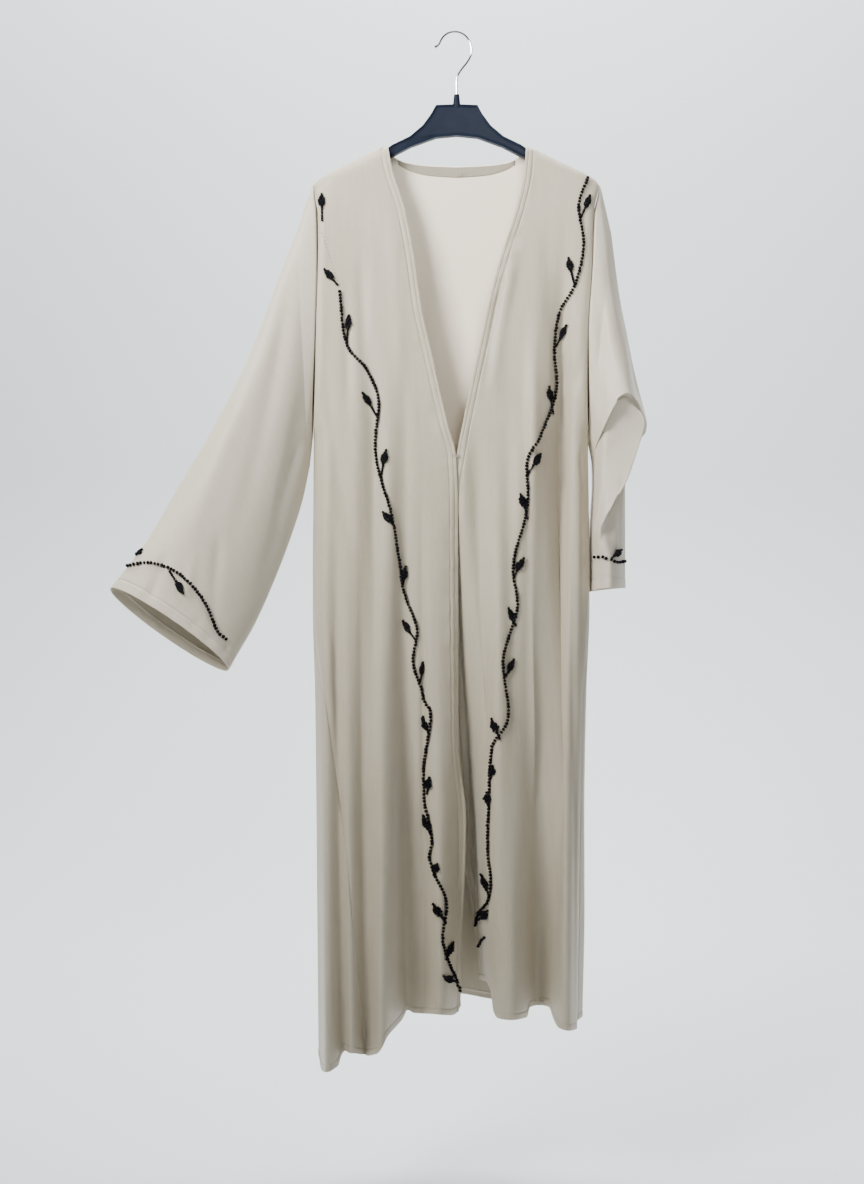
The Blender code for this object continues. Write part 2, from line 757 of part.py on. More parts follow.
def make_sleeves():
    columns = SLEEVE_COLUMNS
    left_rings = [armhole_ring(-1, columns)]
    left_rings += [left_ring(at, columns) for at in np.linspace(0, len(LEFT_SLEEVE) - 1, LEFT_RINGS)]
    right_rings = [armhole_ring(1, columns)]
    right_rings += [right_ring(at, columns) for at in np.linspace(0, len(RIGHT_SLEEVE) - 1, RIGHT_RINGS)]
    return {
        "sleeve_left": wall_object("sleeve_left", np.array(left_rings), closed=True),
        "sleeve_right": wall_object("sleeve_right", np.array(right_rings), closed=True, flip=True),
    }


def solid_tree(obj):
    """The faces of an object as built, for laying beads on them."""
    graph = bpy.context.evaluated_depsgraph_get()
    evaluated = obj.evaluated_get(graph)
    mesh = evaluated.to_mesh()
    mesh.calc_loop_triangles()
    tree = BVHTree.FromPolygons(
        [vertex.co.copy() for vertex in mesh.vertices],
        [tuple(triangle.vertices) for triangle in mesh.loop_triangles],
    )
    evaluated.to_mesh_clear()
    return tree


def laid_on(tree, x, drop):
    """The point of a panel's outer face straight behind this place, and its normal."""
    place, normal, _, _ = tree.ray_cast(Vector((x, -1.0, -drop)), Vector((0, 1, 0)))
    return place, normal


def make_facing(back_tree):
    """The band inside the back neck, on the back's own face moved forward."""
    forward = Vector((0, -WALL / 2 - FACING_GAP, 0))
    grid = []
    for down in (0.0, 0.34, 0.67, 1.0):
        run = []
        for x in np.linspace(-FACING_REACH, FACING_REACH, FACING_COLUMNS):
            near_end = (abs(x) / FACING_REACH) ** 3
            depth = FACING_DEPTH + (FACING_END_DEPTH - FACING_DEPTH) * near_end
            drop = back_top(x) + FACING_TOP_SET_BACK + depth * down
            place, _ = laid_on(back_tree, x, drop)
            run.append(tuple(place + forward))
        grid.append(run)
    return wall_object("back_neck_facing", np.array(grid), flip=True)


def half_sides(places, normals, widths):
    """For each place, the step from the middle of the strip to its side."""
    sides = []
    for i in range(len(places)):
        ahead = places[min(i + 1, len(places) - 1)] - places[max(i - 1, 0)]
        sides.append(ahead.cross(normals[i]).normalized() * (widths[i] / 2))
    return sides


def ribbon(places, normals, sides, heights, lift):
    """A closed low strip through places on a panel, a little narrower on top."""
    points = []
    for place, normal, side, height in zip(places, normals, sides, heights):
        low = place + normal * lift
        high = low + normal * height
        points += [low - side, low + side, high + side * STRIP_TOP, high - side * STRIP_TOP]
    faces = [(0, 1, 2, 3)]
    for i in range(len(places) - 1):
        for k in range(4):
            m = (k + 1) % 4
            faces.append((4 * i + k, 4 * i + 4 + k, 4 * i + 4 + m, 4 * i + m))
    last = 4 * (len(places) - 1)
    faces.append((last + 3, last + 2, last + 1, last))
    return points, faces


def raised_over_ridges(tree, places, normals, sides):
    """Moves places off the panel where the strip between two of them would cut it."""
    raised = [0.0] * len(places)
    for i in range(len(places) - 1):
        for t in (0.0, 0.25, 0.5, 0.75, 1.0):
            for across in (-1, 0, 1):
                side = sides[i].lerp(sides[i + 1], t) * across
                point = places[i].lerp(places[i + 1], t) + side
                ridge, _ = laid_on(tree, point.x, -point.z)
                for end in (i, i + 1):
                    sunk = (ridge - point).dot(normals[end]) if ridge else 0.0
                    raised[end] = max(raised[end], sunk)
    return [place + normal * off for place, normal, off in zip(places, normals, raised)]


def strip_object(name, tree, route, widths, heights, lift):
    places = []
    normals = []
    for x, _, z in route:
        place, normal = laid_on(tree, x, -z)
        places.append(place)
        normals.append(normal)
    for i in range(1, len(normals) - 1):
        normals[i] = (normals[i - 1] + normals[i] * 2 + normals[i + 1]).normalized()
    sides = half_sides(places, normals, widths)
    for _ in range(RAISING_PASSES):
        places = raised_over_ridges(tree, places, normals, sides)
    points, faces = ribbon(places, normals, sides, heights, lift)
    strip = new_object(name, points, faces)
    work = bmesh.new()
    work.from_mesh(strip.data)
    bmesh.ops.recalc_face_normals(work, faces=work.faces)
    work.to_mesh(strip.data)
    work.free()
    return strip


def rounded(bends, points_each):
    """A round curve through the bends, with the same number of points after each."""
    points = [Vector((bend.x, 0, -bend.drop)) for bend in bends]
    ends = [points[0] * 2 - points[1]] + points + [points[-1] * 2 - points[-2]]
    curve = []
    for a, b, c, d in zip(ends, ends[1:], ends[2:], ends[3:]):
        for k in range(points_each):
            t = k / points_each
            curve.append(
                0.5 * ((2 * b) + (c - a) * t + (2 * a - 5 * b + 4 * c - d) * t**2
                       + (3 * b - a - 3 * c + d) * t**3)
            )
    curve.append(points[-1])
    return curve


def smooth_route(bends, step):
    """Places along the vine, one each step, on a round curve through its bends."""
    run = np.array([tuple(point) for point in rounded(bends, VINE_POINTS_EACH)])
    length = np.linalg.norm(np.diff(run, axis=0), axis=1).sum()
    return spread(run, np.linspace(0, 1, max(2, round(length / step) + 1)))


def leaf_object(name, tree, leaf, stem_x, stem_drop, lift):
    """A leaf on its stalk: widest below the tip, then narrow to its foot."""
    tip = np.array([leaf.tip_x, 0, -leaf.tip_drop])
    foot = np.array([stem_x, 0, -stem_drop])
    route = [tip + (foot - tip) * station.along for station in LEAF_SHAPE]
    widths = [LEAF_WIDTH * station.wide for station in LEAF_SHAPE]
    heights = [STEM_HEIGHT * station.high for station in LEAF_SHAPE]
    return strip_object(name, tree, route, widths, heights, lift)


def vine_object(name, tree, bends, leaves, step):
    """A stem with its leaves united to it in one body."""
    route = smooth_route(bends, step)
    widths = [STEM_WIDTH] * len(route)
    heights = [STEM_HEIGHT] * len(route)
    vine = strip_object(name, tree, route, widths, heights, BEAD_LIFT)
    helpers = bpy.data.collections.new(name + "_leaves")
    HELPERS.children.link(helpers)
    for i, leaf in enumerate(leaves):
        away = np.hypot(route[:, 0] - leaf.stem_x, route[:, 2] + leaf.stem_drop)
        near = min(int(np.argmin(away)), len(route) - 2)
        foot = (route[near] + route[near + 1]) / 2
        part = leaf_object(f"{name}_leaf_{i + 1}", tree, leaf, foot[0], -foot[2], LEAF_LIFT)
        as_helper(part, helpers)
    union = vine.modifiers.new("leaves", "BOOLEAN")
    union.operation = "UNION"
    union.solver = "EXACT"
    union.operand_type = "COLLECTION"
    union.collection = helpers
    return vine


def as_helper(obj, collection):
    collection.objects.link(obj)
    obj.hide_render = True
    obj.display_type = "WIRE"


def make_beadwork(cloth):
    trees = {name: solid_tree(obj) for name, obj in cloth.items()}
    made = {
        "vine_front_left": vine_object(
            "vine_front_left", trees["front_left"], VINE_LEFT, LEAVES_LEFT, STEM_STEP
        ),
        "vine_front_right": vine_object(
            "vine_front_right", trees["front_right"], VINE_RIGHT, LEAVES_RIGHT, STEM_STEP
        ),
        "vine_cuff_left": vine_object(
            "vine_cuff_left", trees["sleeve_left"], VINE_CUFF_LEFT, LEAVES_CUFF_LEFT, STEM_STEP
        ),
        "vine_cuff_right": vine_object(
            "vine_cuff_right", trees["sleeve_right"], VINE_CUFF_RIGHT, LEAVES_CUFF_RIGHT, CUFF_RIGHT_STEP
        ),
    }
    for name, (panel, leaf) in LOOSE_LEAVES.items():
        made[name] = leaf_object(
            name, trees[panel], leaf, leaf.stem_x, leaf.stem_drop, LOOSE_LIFT
        )
    return made


def as_mesh(curve_object):
    """The curve's solid as a mesh object, its caps welded to its sides."""
    graph = bpy.context.evaluated_depsgraph_get()
    mesh = bpy.data.meshes.new_from_object(curve_object.evaluated_get(graph))
    work = bmesh.new()
    work.from_mesh(mesh)
    bmesh.ops.remove_doubles(work, verts=work.verts, dist=1e-6)
    work.to_mesh(mesh)
    work.free()
    name = curve_object.name
    placed = curve_object.matrix_world.copy()
    bpy.data.objects.remove(curve_object)
    made = bpy.data.objects.new(name, mesh)
    made.matrix_world = placed
    return made


def hanger_outline():
    """Half the hanger's outline, from the crown over the arm to the lower edge."""
    top = [(edge.across, -edge.drop) for edge in HANGER_TOP]
    arm = [(x, -float(shoulder_drop(x)) - WALL / 2 - ARM_UNDER_CLOTH) for x in ARM_STATIONS]
    tip_top = -float(shoulder_drop(ARM_TIP)) - WALL / 2 - ARM_UNDER_CLOTH
    tip = [(ARM_TIP + dx, tip_top - down) for dx, down in ARM_TIP_ROUND]
    bottom = [(edge.across, -edge.drop) for edge in HANGER_BOTTOM]
    return top + arm + tip + bottom


def make_plate():
    """The hanger's flat body with a raised rim along its outline."""
    half = hanger_outline()
    outline = half + [(-x, z) for x, z in half[-2:0:-1]]
    curve = bpy.data.curves.new("hanger_body", "CURVE")
    curve.dimensions = "2D"
    curve.fill_mode = "BOTH"
    curve.extrude = PLATE_HALF
    spline = curve.splines.new("POLY")
    spline.points.add(len(outline) - 1)
    for point, (x, z) in zip(spline.points, outline):
        point.co = (x, z, 0, 1)
    spline.use_cyclic_u = True
    flat = bpy.data.objects.new("hanger_body", curve)
    bpy.context.scene.collection.objects.link(flat)
    flat.rotation_euler.x = math.radians(90)
    bpy.context.view_layer.update()
    plate = as_mesh(flat)
    work = bmesh.new()
    work.from_mesh(plate.data)
    for sign in (-1, 1):
        work.faces.ensure_lookup_table()
        face_side = [
            face
            for face in work.faces
            if all(abs(vertex.co.z - sign * PLATE_HALF) < 1e-5 for vertex in face.verts)
        ]
        bmesh.ops.inset_region(
            work,
            faces=face_side,
            thickness=RIM_WIDTH,
            depth=-RIM_HEIGHT,
            use_boundary=True,
            use_even_offset=True,
        )
    work.to_mesh(plate.data)
    work.free()
    return plate


def turned(name, profile):
    """A body turned about Z from a profile of (radius, height) from its top to its foot."""
    points = [(radius, 0, height) for radius, height in profile]
    mesh = bpy.data.meshes.new(name)
    mesh.from_pydata(points, [(i, i + 1) for i in range(len(points) - 1)], [])
    body_object = bpy.data.objects.new(name, mesh)
    screw = body_object.modifiers.new("turn", "SCREW")
    screw.axis = "Z"
    screw.steps = SCREW_STEPS
    screw.render_steps = SCREW_STEPS
    screw.use_merge_vertices = True
    screw.merge_threshold = 0.0001
    screw.use_smooth_shade = False
    return body_object


def make_hanger():
    """The plate with its conical boss, and a blind hole in the boss for the hook."""
    plate = make_plate()
    boss = turned(
        "hanger_boss",
        [
            (0.0, -BOSS_TOP_DROP),
            (BOSS_TOP_RADIUS, -BOSS_TOP_DROP),
            (BOSS_BASE_RADIUS, -CROWN_DROP),
            (BOSS_BASE_RADIUS, -CROWN_DROP - BOSS_SINK),
            (0.0, -CROWN_DROP - BOSS_SINK),
        ],
    )
    as_helper(boss, HELPERS)
    socket = turned(
        "hanger_socket",
        [
            (0.0, -BOSS_TOP_DROP + SOCKET_CLEAR),
            (SOCKET_RADIUS, -BOSS_TOP_DROP + SOCKET_CLEAR),
            (SOCKET_RADIUS, -BOSS_TOP_DROP - SOCKET_DEPTH),
            (0.0, -BOSS_TOP_DROP - SOCKET_DEPTH),
        ],
    )
    as_helper(socket, HELPERS)
    for name, operation, other in (("boss", "UNION", boss), ("socket", "DIFFERENCE", socket)):
        modifier = plate.modifiers.new(name, "BOOLEAN")
        modifier.operation = operation
        modifier.solver = "EXACT"
        modifier.object = other
    return plate


def make_hook():
    """The wire hook: a round crown, a tip turned outwards and a straight shank."""
    shank_end = BOSS_TOP_DROP + SOCKET_DEPTH - HOOK_END_GAP
    route = rounded(HOOK_ROUTE, HOOK_POINTS_EACH)
    route.append(Vector((0, 0, -shank_end)))
    curve = bpy.data.curves.new("hanger_hook", "CURVE")
    curve.dimensions = "3D"
    curve.bevel_depth = WIRE_RADIUS
    curve.bevel_resolution = 2
    curve.use_fill_caps = True
    spline = curve.splines.new("POLY")
    spline.points.add(len(route) - 1)
    for i, (point, place) in enumerate(zip(spline.points, route)):
        point.co = (*place, 1)
        point.radius = HOOK_TIP_RADIUS / WIRE_RADIUS if i < 2 else 1.0
    return bpy.data.objects.new("hanger_hook", curve)


def make_material(name):
    color, roughness, metallic = COLORS[name]
    material = bpy.data.materials.new(name)
    material.use_nodes = True
    shader = material.node_tree.nodes["Principled BSDF"]
    shader.inputs["Base Color"].default_value = (*color, 1)
    shader.inputs["Roughness"].default_value = roughness
    shader.inputs["Metallic"].default_value = metallic
    return material


def add_part(obj, material):
    PARTS.objects.link(obj)
    obj.data.materials.clear()
    obj.data.materials.append(material)


for old in list(bpy.data.objects):
    bpy.data.objects.remove(old)

PARTS = bpy.data.collections.new("abaya_cloak_on_hanger")
HELPERS = bpy.data.collections.new("helpers")
bpy.context.scene.collection.children.link(PARTS)
bpy.context.scene.collection.children.link(HELPERS)
HELPERS.hide_render = True

MATERIALS = {name: make_material(name) for name in COLORS}
CLOTH = {**make_panels(), **make_sleeves()}
for cloth_object in CLOTH.values():
    add_part(cloth_object, MATERIALS["cloth"])
bpy.context.view_layer.update()
add_part(make_facing(solid_tree(CLOTH["back"])), MATERIALS["facing"])
for bead_object in make_beadwork(CLOTH).values():
    add_part(bead_object, MATERIALS["beads"])
add_part(make_hanger(), MATERIALS["plastic"])
add_part(make_hook(), MATERIALS["wire"])
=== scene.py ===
"""An open abaya cloak with beaded vines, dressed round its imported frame.

Units are metres, +Z is up and the front faces -Y, as in the frame. Heights in the tables are drops
below the crown of the hanger's hook, and left means the viewer's left.
"""

import logging
import math
from dataclasses import dataclass, field
from enum import Enum
from typing import Callable, Iterable, Optional, Sequence

import bmesh
import bpy
import numpy as np
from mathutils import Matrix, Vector
from mathutils.bvhtree import BVHTree


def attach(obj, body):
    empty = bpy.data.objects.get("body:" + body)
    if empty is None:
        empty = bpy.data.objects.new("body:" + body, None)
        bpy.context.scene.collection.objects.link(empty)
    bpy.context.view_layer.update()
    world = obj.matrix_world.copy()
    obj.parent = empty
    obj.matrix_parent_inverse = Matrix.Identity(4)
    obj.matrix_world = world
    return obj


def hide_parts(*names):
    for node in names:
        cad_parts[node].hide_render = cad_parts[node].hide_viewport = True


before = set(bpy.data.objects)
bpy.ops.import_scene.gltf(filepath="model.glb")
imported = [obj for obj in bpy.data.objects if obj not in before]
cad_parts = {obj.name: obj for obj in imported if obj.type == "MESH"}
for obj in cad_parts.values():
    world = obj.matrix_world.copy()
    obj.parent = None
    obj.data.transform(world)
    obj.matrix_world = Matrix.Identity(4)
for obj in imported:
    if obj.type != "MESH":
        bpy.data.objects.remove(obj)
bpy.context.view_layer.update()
LOG = logging.getLogger("abaya")

Section = Callable[[float], np.ndarray]

WALL = 0.0010
SHOULDER_ROLL = 0.022
SIDE_ROLL = 0.032
SHOULDER_POINT = 0.228
UNDERARM = 0.600
FOLDS_START = 0.600
FOLDS_END = 1.470
FOLD_GROWTH = 1.35
CUFF_STITCH = 0.015
FACING_WALL = 0.0006
TACK_THICK = 0.0007
TRIM = 0.0001
SEAM_GAP = 0.00015
LEAF_OUTLINE = ((0.0, 0.12, 0.42, 0.66, 0.84, 1.0), (0.10, 0.30, 0.86, 1.0, 0.70, 0.25))
LEAF_LENGTH = 0.0230
LEAF_BEAD = 0.0024
LEAF_ROW = 0.0025
LEAF_PITCH = 0.0026
STALK_PITCH = 0.0030
STALK_BEAD = 0.0021


class Side(Enum):
    """The viewer's left or right, as the sign of X."""

    LEFT = -1
    RIGHT = 1


class Way(Enum):
    """Which way a crease goes out of the cloth."""

    TROUGH = -1
    RIDGE = 1


BODY_NAMES = ("drop", "left", "right", "front", "back", "side_left", "side_right")
BODY_ROWS = (
    (0.170, -0.2146, 0.2140, 0.017, 0.017, 0.000, 0.000),
    (0.228, -0.2146, 0.2140, 0.019, 0.019, 0.000, 0.000),
    (0.270, -0.2090, 0.2060, 0.022, 0.021, 0.000, 0.000),
    (0.350, -0.2070, 0.2015, 0.026, 0.023, 0.000, 0.000),
    (0.460, -0.2095, 0.1945, 0.030, 0.026, 0.000, 0.000),
    (0.600, -0.2140, 0.1960, 0.034, 0.029, 0.000, 0.000),
    (0.850, -0.2145, 0.1985, 0.041, 0.035, -0.012, -0.004),
    (1.000, -0.2100, 0.1930, 0.047, 0.041, -0.025, -0.008),
    (1.180, -0.2070, 0.1900, 0.055, 0.049, -0.040, -0.012),
    (1.300, -0.2050, 0.1900, 0.061, 0.056, -0.055, -0.016),
    (1.520, -0.2020, 0.1850, 0.071, 0.064, -0.070, -0.020),
)
SHOULDER_ROWS = (
    (0.000, 0.172),
    (0.103, 0.172),
    (0.120, 0.178),
    (0.148, 0.191),
    (0.184, 0.207),
    (0.202, 0.217),
    (0.2146, SHOULDER_POINT),
)
BACK_NECK_ROWS = ((0.000, 0.1965), (0.045, 0.1945), (0.075, 0.1905), (0.093, 0.1835), (0.103, 0.1725))
LEFT_EDGE_ROWS = (
    (0.172, -0.1030),
    (0.212, -0.0952),
    (0.263, -0.0788),
    (0.335, -0.0640),
    (0.419, -0.0520),
    (0.493, -0.0356),
    (0.592, -0.0132),
    (0.638, -0.0014),
    (0.710, 0.0016),
    (1.060, 0.0016),
    (1.175, 0.0135),
    (1.250, 0.0122),
    (1.365, 0.0062),
    (1.520, 0.0048),
)
RIGHT_EDGE_ROWS = (
    (0.172, 0.1035),
    (0.217, 0.0996),
    (0.265, 0.0892),
    (0.339, 0.0655),
    (0.393, 0.0506),
    (0.468, 0.0343),
    (0.545, 0.0175),
    (0.634, 0.0000),
    (0.700, -0.0090),
    (0.950, -0.0110),
    (1.130, -0.0020),
    (1.235, 0.0085),
    (1.300, 0.0200),
    (1.438, 0.0350),
    (1.520, 0.0400),
)
LEFT_SEAM_ROWS = (
    (0.600, -0.2140),
    (0.820, -0.2145),
    (0.914, -0.2088),
    (1.002, -0.1915),
    (1.115, -0.1752),
    (1.220, -0.1600),
    (1.407, -0.1428),
    (1.520, -0.1335),
)
RIGHT_SEAM_ROWS = (
    (0.600, 0.1960),
    (0.820, 0.1985),
    (0.920, 0.1935),
    (1.000, 0.1862),
    (1.180, 0.1815),
    (1.520, 0.1760),
)
EYE_X = -0.037
EYE_DROP = 0.839
EYE_AWAY = 2.45
LEFT_HEM_ROWS = (
    (-0.2081, 1.5398),
    (-0.2051, 1.5518),
    (-0.1953, 1.5563),
    (-0.1826, 1.5518),
    (-0.1751, 1.5308),
    (-0.1691, 1.5255),
    (-0.1586, 1.5308),
    (-0.1406, 1.5338),
    (-0.1218, 1.5308),
    (-0.1031, 1.5038),
    (-0.0821, 1.4798),
    (-0.0731, 1.4648),
    (-0.0641, 1.4700),
    (-0.0453, 1.4715),
    (-0.0086, 1.4738),
    (0.0010, 1.4690),
    (0.0045, 1.4600),
)
RIGHT_HEM_ROWS = (
    (0.0365, 1.4180),
    (0.0470, 1.4220),
    (0.0535, 1.4350),
    (0.0564, 1.4670),
    (0.0625, 1.4778),
    (0.0830, 1.4813),
    (0.1047, 1.4768),
    (0.1094, 1.4618),
    (0.1235, 1.4588),
    (0.1370, 1.4618),
    (0.1445, 1.4783),
    (0.1535, 1.4927),
    (0.1685, 1.4972),
    (0.1844, 1.4910),
    (0.1900, 1.4753),
)
FOLD_NAMES = ("x_top", "x_hem", "y_hem", "hem_drop")
LEFT_FOLD_ROWS = (
    (-0.2140, -0.2020, -0.080, 1.508),
    (-0.2000, -0.1870, -0.135, 1.514),
    (-0.1830, -0.1650, -0.100, 1.506),
    (-0.1690, -0.1515, -0.118, 1.505),
    (-0.1480, -0.1340, -0.085, 1.503),
    (-0.1200, -0.1080, -0.118, 1.493),
    (-0.0820, -0.0726, -0.030, 1.457),
    (-0.0540, -0.0500, -0.036, 1.457),
    (-0.0260, -0.0250, -0.068, 1.456),
    (0.0020, 0.0050, -0.014, 1.450),
)
RIGHT_FOLD_ROWS = (
    (-0.0110, 0.0380, 0.055, 1.440),
    (0.0200, 0.0560, -0.070, 1.452),
    (0.0600, 0.0790, -0.090, 1.457),
    (0.1080, 0.1200, -0.020, 1.453),
    (0.1520, 0.1580, -0.085, 1.474),
    (0.1960, 0.1850, -0.040, 1.470),
)
BACK_FOLD_ROWS = (
    (-0.2140, -0.2020, 0.010, 1.505),
    (-0.1700, -0.1640, 0.052, 1.498),
    (-0.1180, -0.1130, 0.086, 1.490),
    (-0.0650, -0.0600, 0.050, 1.478),
    (-0.0050, 0.0040, 0.092, 1.464),
    (0.0560, 0.0600, 0.058, 1.464),
    (0.1100, 0.1140, 0.088, 1.467),
    (0.1600, 0.1560, 0.045, 1.469),
    (0.1960, 0.1850, 0.010, 1.470),
)
LEFT_RING_NAMES = ("top_x", "top_drop", "low_x", "low_drop", "y", "half_depth", "tilt")
LEFT_RING_ROWS = (
    (-0.2387, 0.3000, -0.2200, 0.6500, -0.008, 0.027, 0),
    (-0.2612, 0.3620, -0.2290, 0.6980, -0.018, 0.030, 3),
    (-0.3053, 0.4890, -0.2460, 0.7590, -0.040, 0.033, 6),
    (-0.3590, 0.6050, -0.2690, 0.8260, -0.068, 0.035, 10),
    (-0.4100, 0.7010, -0.2930, 0.8860, -0.098, 0.036, 15),
    (-0.4390, 0.7600, -0.3080, 0.9170, -0.124, 0.037, 20),
    (-0.4880, 0.8350, -0.3230, 0.9480, -0.158, 0.038, 26),
)
RIGHT_RING_NAMES = (
    "outer_x",
    "outer_drop",
    "inner_x",
    "inner_drop",
    "facet",
    "facet_y",
    "crease",
    "crease_y",
    "edge",
    "edge_y",
    "face",
    "face_y",
    "lift",
    "back",
)
RIGHT_RING_ROWS = (
    (0.2315, 0.301, 0.199, 0.612, 0.20, -0.024, 0.40, -0.033, 0.60, -0.034, 0.80, -0.027, 0.000, 0.030),
    (0.2450, 0.401, 0.201, 0.618, 0.20, -0.032, 0.40, -0.044, 0.60, -0.045, 0.80, -0.036, 0.010, 0.036),
    (0.2660, 0.506, 0.203, 0.626, 0.20, -0.036, 0.40, -0.052, 0.60, -0.055, 0.80, -0.046, 0.030, 0.044),
    (0.2850, 0.586, 0.205, 0.636, 0.20, -0.038, 0.40, -0.056, 0.60, -0.062, 0.80, -0.054, 0.060, 0.055),
    (0.2830, 0.600, 0.206, 0.642, 0.20, -0.029, 0.40, -0.045, 0.60, -0.050, 0.80, -0.043, 0.074, 0.062),
    (0.2600, 0.622, 0.207, 0.648, 0.05, -0.016, 0.20, -0.030, -0.28, -0.043, 0.70, -0.042, 0.020, 0.075),
    (0.2525, 0.670, 0.208, 0.678, 0.08, -0.016, 0.26, -0.031, 0.03, -0.052, 0.80, -0.040, 0.000, 0.090),
    (0.2525, 0.709, 0.206, 0.715, 0.14, -0.020, 0.60, -0.036, 0.49, -0.053, 0.88, -0.036, 0.000, 0.100),
    (0.2525, 0.745, 0.204, 0.750, 0.27, -0.030, 0.70, -0.042, 0.82, -0.050, 0.94, -0.028, 0.000, 0.105),
    (0.2525, 0.790, 0.203, 0.795, 0.30, -0.036, 0.55, -0.050, 0.80, -0.034, 0.92, -0.018, 0.000, 0.110),
    (0.2525, 0.833, 0.202, 0.840, 0.30, -0.036, 0.53, -0.050, 0.80, -0.032, 0.92, -0.016, 0.004, 0.112),
)


def through(keys: Sequence[float], values: Sequence[float], at: np.ndarray) -> np.ndarray:
    """Reads a smooth curve through rows, level at each peak and dip.

    Args:
        keys: where the rows stand, rising.
        values: the value at each row.
        at: where the curve is read.

    Returns:
        The curve's values there.
    """
    keys = np.asarray(keys, float)
    values = np.asarray(values, float)
    at = np.clip(np.asarray(at, float), keys[0], keys[-1])
    slope = np.diff(values) / np.diff(keys)
    product = slope[:-1] * slope[1:]
    total = np.where(product > 0, slope[:-1] + slope[1:], 1.0)
    inner = np.where(product > 0, 2 * product / total, 0.0)
    tangent = np.concatenate([slope[:1], inner, slope[-1:]])
    span = np.clip(np.searchsorted(keys, at, side="right") - 1, 0, len(slope) - 1)
    width = (keys[1:] - keys[:-1])[span]
    t = (at - keys[span]) / width
    rise = values[span] * (2 * t**3 - 3 * t**2 + 1) + values[span + 1] * (3 * t**2 - 2 * t**3)
    lean = tangent[span] * (t**3 - 2 * t**2 + t) + tangent[span + 1] * (t**3 - t**2)
    return rise + lean * width


def spread(points: np.ndarray, wanted: np.ndarray) -> np.ndarray:
    """Points at these distances along a run of points.

    Args:
        points: the run, one point a row.
        wanted: distances from its first point.

    Returns:
        One point a row.
    """
    steps = np.linalg.norm(np.diff(points, axis=0), axis=1)
    along = np.concatenate([[0], np.cumsum(steps)])
    return np.stack([np.interp(wanted, along, points[:, i]) for i in range(points.shape[1])], axis=1)


def length_of(points: np.ndarray) -> float:
    """Length of a run of points."""
    return float(np.linalg.norm(np.diff(points, axis=0), axis=1).sum())


def smooth_run(bends: np.ndarray, step: float) -> np.ndarray:
    """A round curve through bends, one point each step.

    Args:
        bends: the bends, one a row.
        step: the distance from point to point.

    Returns:
        The curve's points.
    """
    ends = np.vstack([2 * bends[0] - bends[1], bends, 2 * bends[-1] - bends[-2]])
    t = np.linspace(0, 1, 16, endpoint=False)[:, None]
    dense = []
    for a, b, c, d in zip(ends, ends[1:], ends[2:], ends[3:]):
        square = 2 * a - 5 * b + 4 * c - d
        dense.append(0.5 * (2 * b + (c - a) * t + square * t**2 + (3 * b - a - 3 * c + d) * t**3))
    run = np.vstack(dense + [bends[-1:]])
    length = length_of(run)
    return spread(run, np.linspace(0, length, max(2, round(length / step) + 1)))


class Table:
    """A table of rows with named columns."""

    def __init__(self, names: Sequence[str], rows: Sequence[Sequence[float]]) -> None:
        """Keeps the rows' columns under their names."""
        self.columns = {name: np.array([row[i] for row in rows], float) for i, name in enumerate(names)}
        self.keys = self.columns[names[0]]
        self.count = len(rows)

    def at(self, name: str, key: np.ndarray) -> np.ndarray:
        """A column read smoothly at a value of the first column."""
        return through(self.keys, self.columns[name], key)

    def row(self, index: float) -> dict[str, float]:
        """Every column read smoothly at a place between the rows."""
        places = np.arange(self.count)
        return {name: float(through(places, column, index)) for name, column in self.columns.items()}


BODY = Table(BODY_NAMES, BODY_ROWS)
SHOULDER = Table(("across", "drop"), SHOULDER_ROWS)
BACK_NECK = Table(("across", "drop"), BACK_NECK_ROWS)
LEFT_EDGE = Table(("drop", "x"), LEFT_EDGE_ROWS)
RIGHT_EDGE = Table(("drop", "x"), RIGHT_EDGE_ROWS)
LEFT_SEAM = Table(("drop", "x"), LEFT_SEAM_ROWS)
LEFT_HEM = Table(("across", "drop"), LEFT_HEM_ROWS)
RIGHT_HEM = Table(("across", "drop"), RIGHT_HEM_ROWS)
RIGHT_SEAM = Table(("drop", "x"), RIGHT_SEAM_ROWS)
LEFT_FOLDS = Table(FOLD_NAMES, LEFT_FOLD_ROWS)
RIGHT_FOLDS = Table(FOLD_NAMES, RIGHT_FOLD_ROWS)
BACK_FOLDS = Table(FOLD_NAMES, BACK_FOLD_ROWS)
LEFT_RINGS = Table(LEFT_RING_NAMES, LEFT_RING_ROWS)
RIGHT_RINGS = Table(RIGHT_RING_NAMES, RIGHT_RING_ROWS)


def shoulder_drop(x: np.ndarray) -> np.ndarray:
    """Drop of the shoulder seam."""
    return np.interp(np.abs(x), SHOULDER.keys, SHOULDER.columns["drop"])


def armhole_open(drop: float) -> float:
    """1 halfway down the armhole, where front and back stand apart, and 0 past its ends."""
    middle = (SHOULDER_POINT + UNDERARM) / 2
    reach = (UNDERARM - SHOULDER_POINT) / 2
    return math.sqrt(max(0.0, 1 - ((drop - middle) / reach) ** 2))


